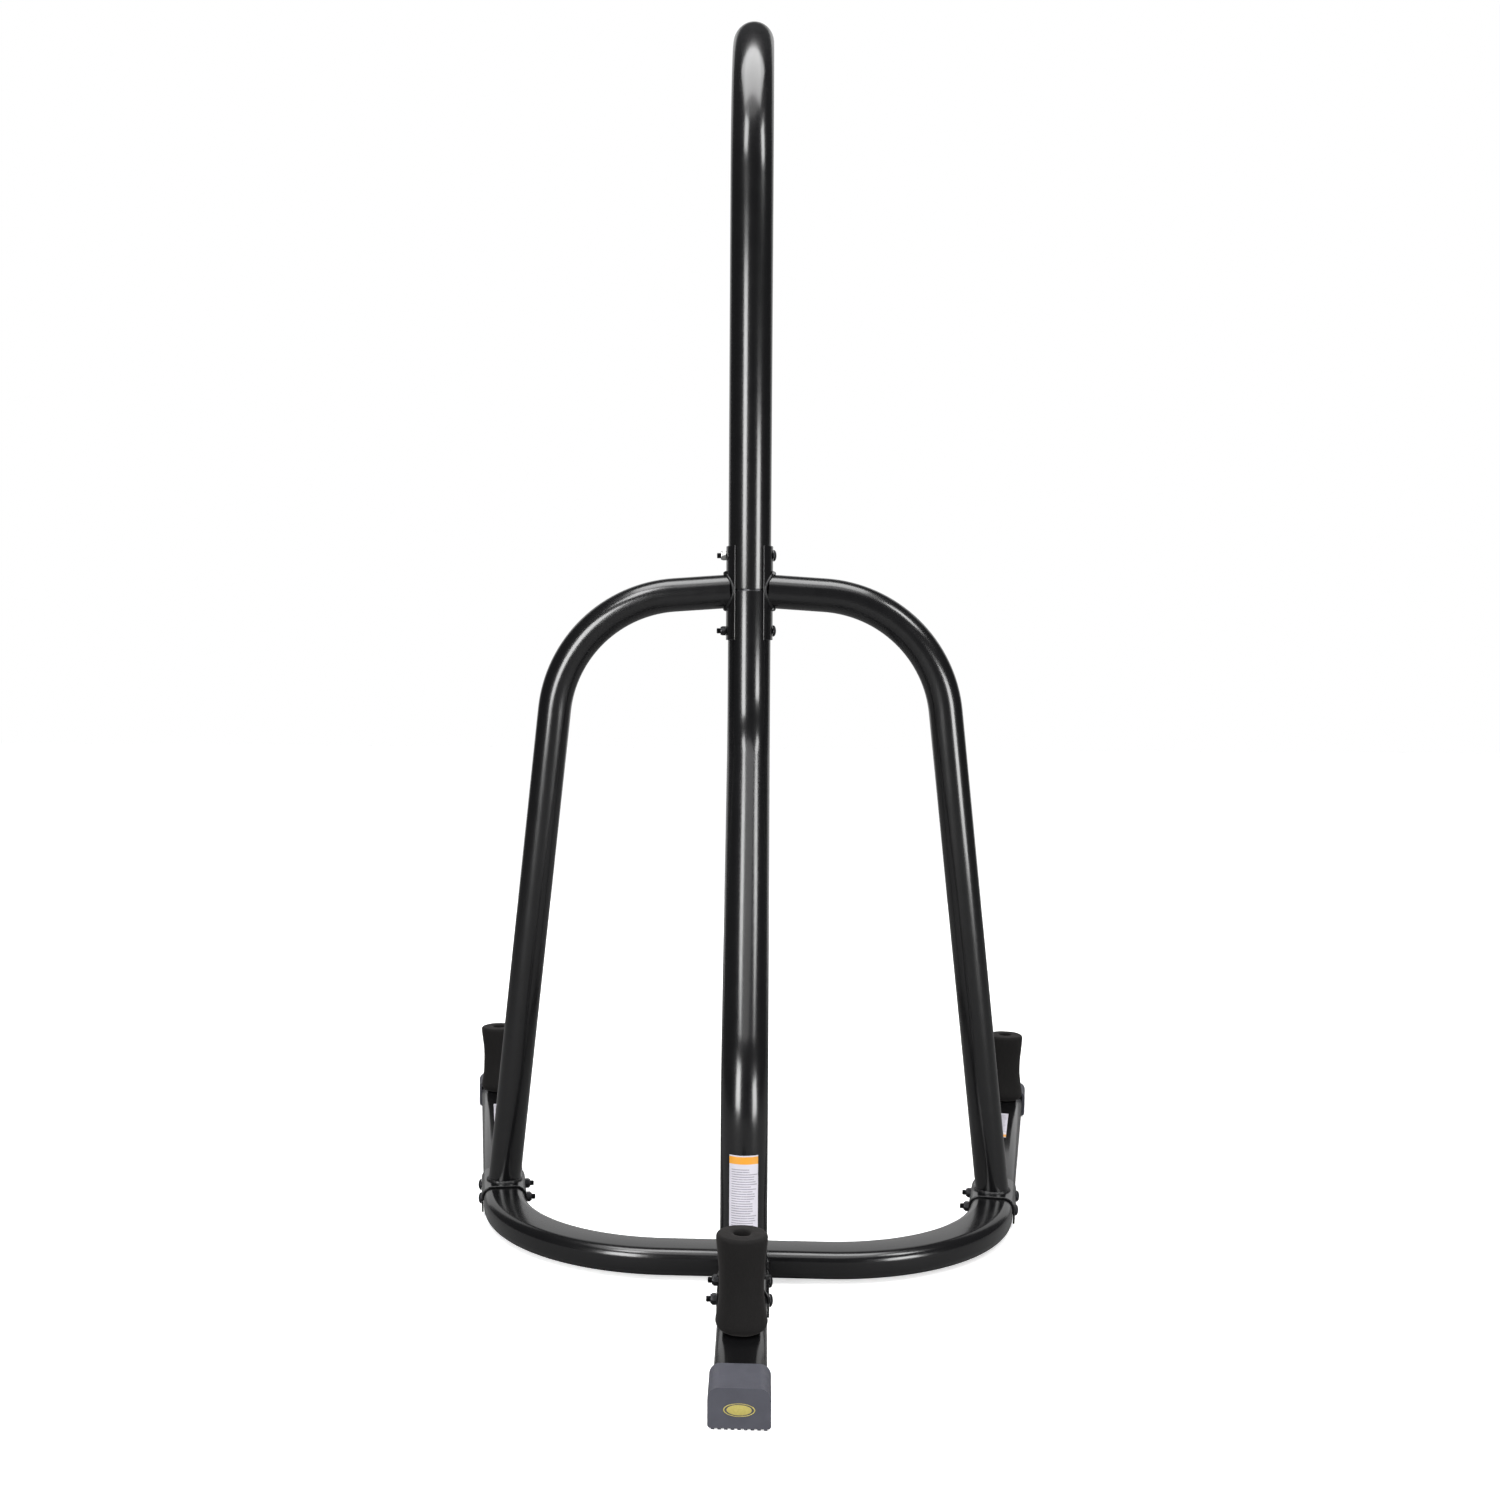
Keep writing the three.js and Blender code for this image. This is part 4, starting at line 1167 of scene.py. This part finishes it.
class STAND_OT_hanger(bpy.types.Operator):
    """Build the eye bolt, link, swivel, snap hook and gate under the arm"""
    bl_idname = "bag_stand.hanger"
    bl_label = "Hanger"

    def execute(self, context):
        low, high = corners_of("eye_bolt")
        at_y = (low.y + high.y) / 2
        place = Matrix.Translation((0, at_y, 0))
        ring_radius, wire = 0.014, 0.004
        ring_reach = ring_radius + wire
        eye_z = low.z + ring_reach
        nut_low, nut_high = corners_of("eye_bolt_nut")

        collar = eye_z + ring_reach + 0.003
        thread = [(0.005, collar + 0.004)]
        z = nut_high.z - 0.0005
        thread.append((0.005, z))
        while z < high.z - 0.002:
            thread += [(0.0044, z + 0.0006), (0.005, z + 0.0012)]
            z += 0.0014
        shaft = turned("eye_shaft", [(0, eye_z + 0.014), (0.005, eye_z + 0.014), (0.0052, collar - 0.0008),
                                     (0.0094, collar - 0.0006), (0.0100, collar), (0.0100, collar + 0.0033),
                                     (0.0094, collar + 0.0040), *thread, (0.0040, high.z), (0, high.z)], 40)
        ring = torus("eye_ring", ring_radius, wire, (1, 0, 0), (0, 0, eye_z))
        eye = settle(fuse("eye_bolt_fine", shaft, ring), place)
        dress(eye, "bright", "eye_bolt")

        bpy.ops.mesh.primitive_cylinder_add(vertices=6, radius=0.017 / math.sqrt(3), depth=0.008,
                                            location=(0, 0, (nut_low.z + nut_high.z) / 2),
                                            rotation=(0, 0, math.pi / 6))
        nut = settle(named("eye_nut_fine"))
        bevel(nut, 0.0008, 40)
        dress(smooth(settle(nut, place), 35), "bright", "eye_bolt_nut")

        link_low, link_high = corners_of("hanger_link")
        link = torus("link_ring", 0.013, 0.0035, (0, 1, 0), (0, at_y, (link_low.z + link_high.z) / 2))
        dress(link, "bright", "hanger_link", "link")

        self.swivel(place)
        self.hook(place)
        return {"FINISHED"}

    def swivel(self, place):
        low, high = corners_of("hanger_swivel")
        loop = torus("swivel_loop", 0.011, 0.0035, (1, 0, 0), (0, 0, high.z - 0.0145))
        top, foot = low.z + 0.017, low.z
        barrel = turned("swivel_barrel", [
            (0, top), (0.0082, top), (0.0098, top - 0.0008), (0.0108, top - 0.0022), (0.0110, top - 0.0036),
            (0.0110, foot + 0.0066), (0.0104, foot + 0.0060), (0.0104, foot + 0.0050),
            (0.0110, foot + 0.0044), (0.0110, foot + 0.0022), (0.0102, foot + 0.0006), (0.0090, foot),
            (0.0049, foot), (0.0049, foot + 0.0040), (0.0076, foot + 0.0040), (0.0076, foot + 0.0100),
            (0, foot + 0.0100),
        ], 48)
        swivel = settle(fuse("swivel_fine", barrel, loop), place)
        dress(swivel, "bright", "hanger_swivel", "swivel")

    def hook(self, place):
        low, high = corners_of("snap_hook")
        half, wire, length = 0.015, 0.0046, 0.070
        top = low.z + length + wire
        pin = Vector((0, half - 0.003, top - 0.014))
        nose = top - length + half + 0.009
        body = sweep("hook_wire", round_loop(wire, 32), [
            (0, 0, top - 0.001), (0, 0, top - 0.007), (0, -half, top - 0.020), (0, -half, top - length),
            (0, half, top - length), (0, half, nose),
        ], [0.004, 0.009, half - 0.0002, half - 0.0002], lip=0.0016)
        shank = turned("hook_shank", [
            (0, top - 0.006), (0.0045, top - 0.006), (0.0045, high.z - 0.0047), (0.0071, high.z - 0.0047),
            (0.0071, high.z - 0.0006), (0.0062, high.z), (0, high.z),
        ], 40)
        collar = turned("hook_collar", [
            (0, top - 0.008), (0.0058, top - 0.008), (0.0075, top - 0.0062), (0.0075, top - 0.0014),
            (0.0064, top), (0, top),
        ], 40)
        cheeks = []
        for side in (-1, 1):
            cheeks.append(rod("hook_cheek", 0.006, (side * 0.0027, pin.y, pin.z),
                              (side * 0.0046, pin.y, pin.z), 0.0005, 40))
            cheeks.append(rod("hook_web", 0.0024, (side * 0.0034, -0.001, top - 0.0075),
                              (side * 0.0034, pin.y - 0.002, pin.z + 0.0016), 0.0004, 24))
        hook = settle(fuse("snap_hook_fine", body, shank, collar, *cheeks), place)
        dress(hook, "bright", "snap_hook", "hook")

        knuckle = rod("gate_knuckle", 0.0047, (-0.0023, pin.y, pin.z), (0.0023, pin.y, pin.z), 0.0005, 40)
        bar = rod("gate_bar", 0.0024, pin, (0, half, nose + 0.0006), 0.0006, 24)
        gate = settle(fuse("gate_fine", knuckle, bar), place)
        dress(gate, "bright", "hook_gate", "gate")

        peg = turned("pin_pattern", [
            (0, -0.0052), (0.0016, -0.0052), (0.0022, -0.0050), (0.0022, -0.0047), (0.0015, -0.0047),
            (0.0015, 0.0047), (0.0022, 0.0047), (0.0022, 0.0050), (0.0016, 0.0052), (0, 0.0052),
        ], 24)
        turn = place @ Matrix.Translation(pin) @ Matrix.Rotation(math.pi / 2, 4, "Y")
        dress(settle(fuse("gate_pin_fine", peg), turn), "hardware", "gate_pin", "hook")


class STAND_OT_stage(bpy.types.Operator):
    """Lay the floor, set the lights and place the camera"""
    bl_idname = "bag_stand.stage"
    bl_label = "Stage"

    def execute(self, context):
        self.floor()
        self.world(context.scene)
        mast, slant = Vector((0, AXIS_Y, 1.2)), Vector((0, -0.19, 0.5))
        self.panel("strip_left", (-1.41, -2.69, 1.10), mast, (1.00, 1.7), 78)
        self.panel("strip_right", (2.19, -2.08, 0.52), mast, (1.00, 1.2), 52)
        self.panel("strip_left_high", (-1.09, -1.59, 2.9), slant, (0.70, 0.9), 25)
        self.panel("strip_right_high", (2.0, -1.08, 2.72), slant, (0.70, 0.9), 25)
        self.panel("overhead", (0, -0.26, 3.4), Vector((0, -0.23, 1.7)), (2.6, 1.4), 62)
        self.panel("backdrop", (0, 3.2, 1.75), Vector((0, 0, 1.75)), (6.5, 3.5), 46)
        self.sun("even_top", 1.3)
        self.camera(context.scene)
        context.scene.view_settings.view_transform = "Standard"
        context.scene.view_settings.look = "None"
        return {"FINISHED"}

    def floor(self):
        floor = block("studio_floor", (24, 24, 1), add=bpy.ops.mesh.primitive_plane_add)
        colour = tuple(settings().stand_finishes.floor)
        f = Finish("floor_pale")
        mottle = f.noise(1.2, 3.0, 0.5)
        base = f.ramp(mottle, [(0.3, shade(colour, 0.985)), (0.7, colour)])
        gloss = f.grey(mottle, 0.62, 0.70, (0.3, 0.7))
        f.feed(Base_Color=base, Roughness=gloss, Specular_IOR_Level=0.1)
        f.shader.inputs["Emission Color"].default_value = (1, 1, 1, 1)
        f.shader.inputs["Emission Strength"].default_value = 0.62
        # Camera rays see the pale floor, lit and glowing; every other ray sees a painted shaded copy of it at
        # 0.22 of its colour, so the tubes reflect a dark floor.
        shaded_floor, path, switch = (f.add("ShaderNode" + kind) for kind in ("BsdfDiffuse", "LightPath", "MixShader"))
        shaded_floor.inputs["Color"].default_value = (*shade(colour, 0.22), 1)
        f.link(path.outputs["Is Camera Ray"], switch.inputs[0])
        f.link(shaded_floor.outputs[0], switch.inputs[1])
        f.link(f.shader.outputs[0], switch.inputs[2])
        f.link(switch.outputs[0], f.nodes["Material Output"].inputs["Surface"])
        floor.data.materials.append(f.material)

    def world(self, scene):
        world = scene.world or bpy.data.worlds.new("studio")
        scene.world = world
        world.use_nodes = True
        nodes, links = world.node_tree.nodes, world.node_tree.links
        nodes.clear()
        out = nodes.new("ShaderNodeOutputWorld")
        seen, lit = nodes.new("ShaderNodeBackground"), nodes.new("ShaderNodeBackground")
        for node, colour, strength in ((seen, (1, 1, 1, 1), 1.0), (lit, (0.97, 0.98, 1.0, 1), 0.07)):
            node.inputs["Color"].default_value = colour
            node.inputs["Strength"].default_value = strength
        path, mix = nodes.new("ShaderNodeLightPath"), nodes.new("ShaderNodeMixShader")
        links.new(path.outputs["Is Camera Ray"], mix.inputs[0])
        links.new(lit.outputs[0], mix.inputs[1])
        links.new(seen.outputs[0], mix.inputs[2])
        links.new(mix.outputs[0], out.inputs["Surface"])

    def light(self, name, kind, power, matrix, **values):
        data = bpy.data.lights.new(name, kind)
        data.energy = power
        for key, value in values.items():
            setattr(data, key, value)
        light = bpy.data.objects.new(name, data)
        bpy.context.scene.collection.objects.link(light)
        light.matrix_world = matrix
        return light

    def panel(self, name, place, target, extent, power):
        turn = (target - Vector(place)).to_track_quat("-Z", "Y").to_matrix().to_4x4()
        light = self.light(name, "AREA", power, Matrix.Translation(place) @ turn, shape="RECTANGLE",
                           size=extent[0], size_y=extent[1])
        light.visible_camera = False

    def sun(self, name, strength):
        """An even top light, so that the pale floor stays white out to its far edge."""
        self.light(name, "SUN", strength, Matrix.Rotation(math.radians(12), 4, "X"),
                   angle=math.radians(60), specular_factor=0.15)

    def camera(self, scene):
        data = bpy.data.cameras.new("camera")
        data.sensor_width = 36
        data.lens = 40.9
        data.shift_x, data.shift_y = 0.0557, -0.0114
        camera = bpy.data.objects.new("camera", data)
        scene.collection.objects.link(camera)
        right = Vector((0.998348, 0.057325, 0.003803))
        up = Vector((-0.006587, 0.048453, 0.998804))
        back = right.cross(up)
        turn = Matrix((right, up, back)).transposed().to_4x4()
        camera.matrix_world = Matrix.Translation((0.0216, AXIS_Y - 2.41923, 0.83291)) @ turn
        scene.camera = camera


class STAND_PT_panel(bpy.types.Panel):
    """Lists the steps that build the stand"""
    bl_idname = "STAND_PT_panel"
    bl_label = "Heavy bag stand"
    bl_space_type = "VIEW_3D"
    bl_region_type = "UI"
    bl_category = "Bag Stand"

    def draw(self, context):
        for operator in OPERATORS:
            self.layout.operator(operator.bl_idname)


GROUPS = {
    "stand_mast": StandMastSizes,
    "stand_brace": StandBraceSizes,
    "stand_base": StandBaseSizes,
    "stand_foam": StandFoamSizes,
    "stand_finishes": StandFinishes,
    "stand_detail": StandDetail,
}
OPERATORS = (STAND_OT_mast, STAND_OT_braces, STAND_OT_base, STAND_OT_fasteners, STAND_OT_pegs,
             STAND_OT_caps, STAND_OT_labels, STAND_OT_hanger, STAND_OT_stage)


def register():
    for group in GROUPS.values():
        bpy.utils.register_class(group)
    for name, group in GROUPS.items():
        setattr(bpy.types.Scene, name, PointerProperty(type=group))
    for operator in OPERATORS:
        bpy.utils.register_class(operator)
    bpy.utils.register_class(STAND_PT_panel)


def unregister():
    bpy.utils.unregister_class(STAND_PT_panel)
    for operator in reversed(OPERATORS):
        bpy.utils.unregister_class(operator)
    for name in GROUPS:
        delattr(bpy.types.Scene, name)
    for group in reversed(GROUPS.values()):
        bpy.utils.unregister_class(group)


def main():
    register()
    for operator in OPERATORS:
        step = operator.bl_idname.split(".")[1]
        getattr(bpy.ops.bag_stand, step)()


if __name__ == "__main__":
    main()
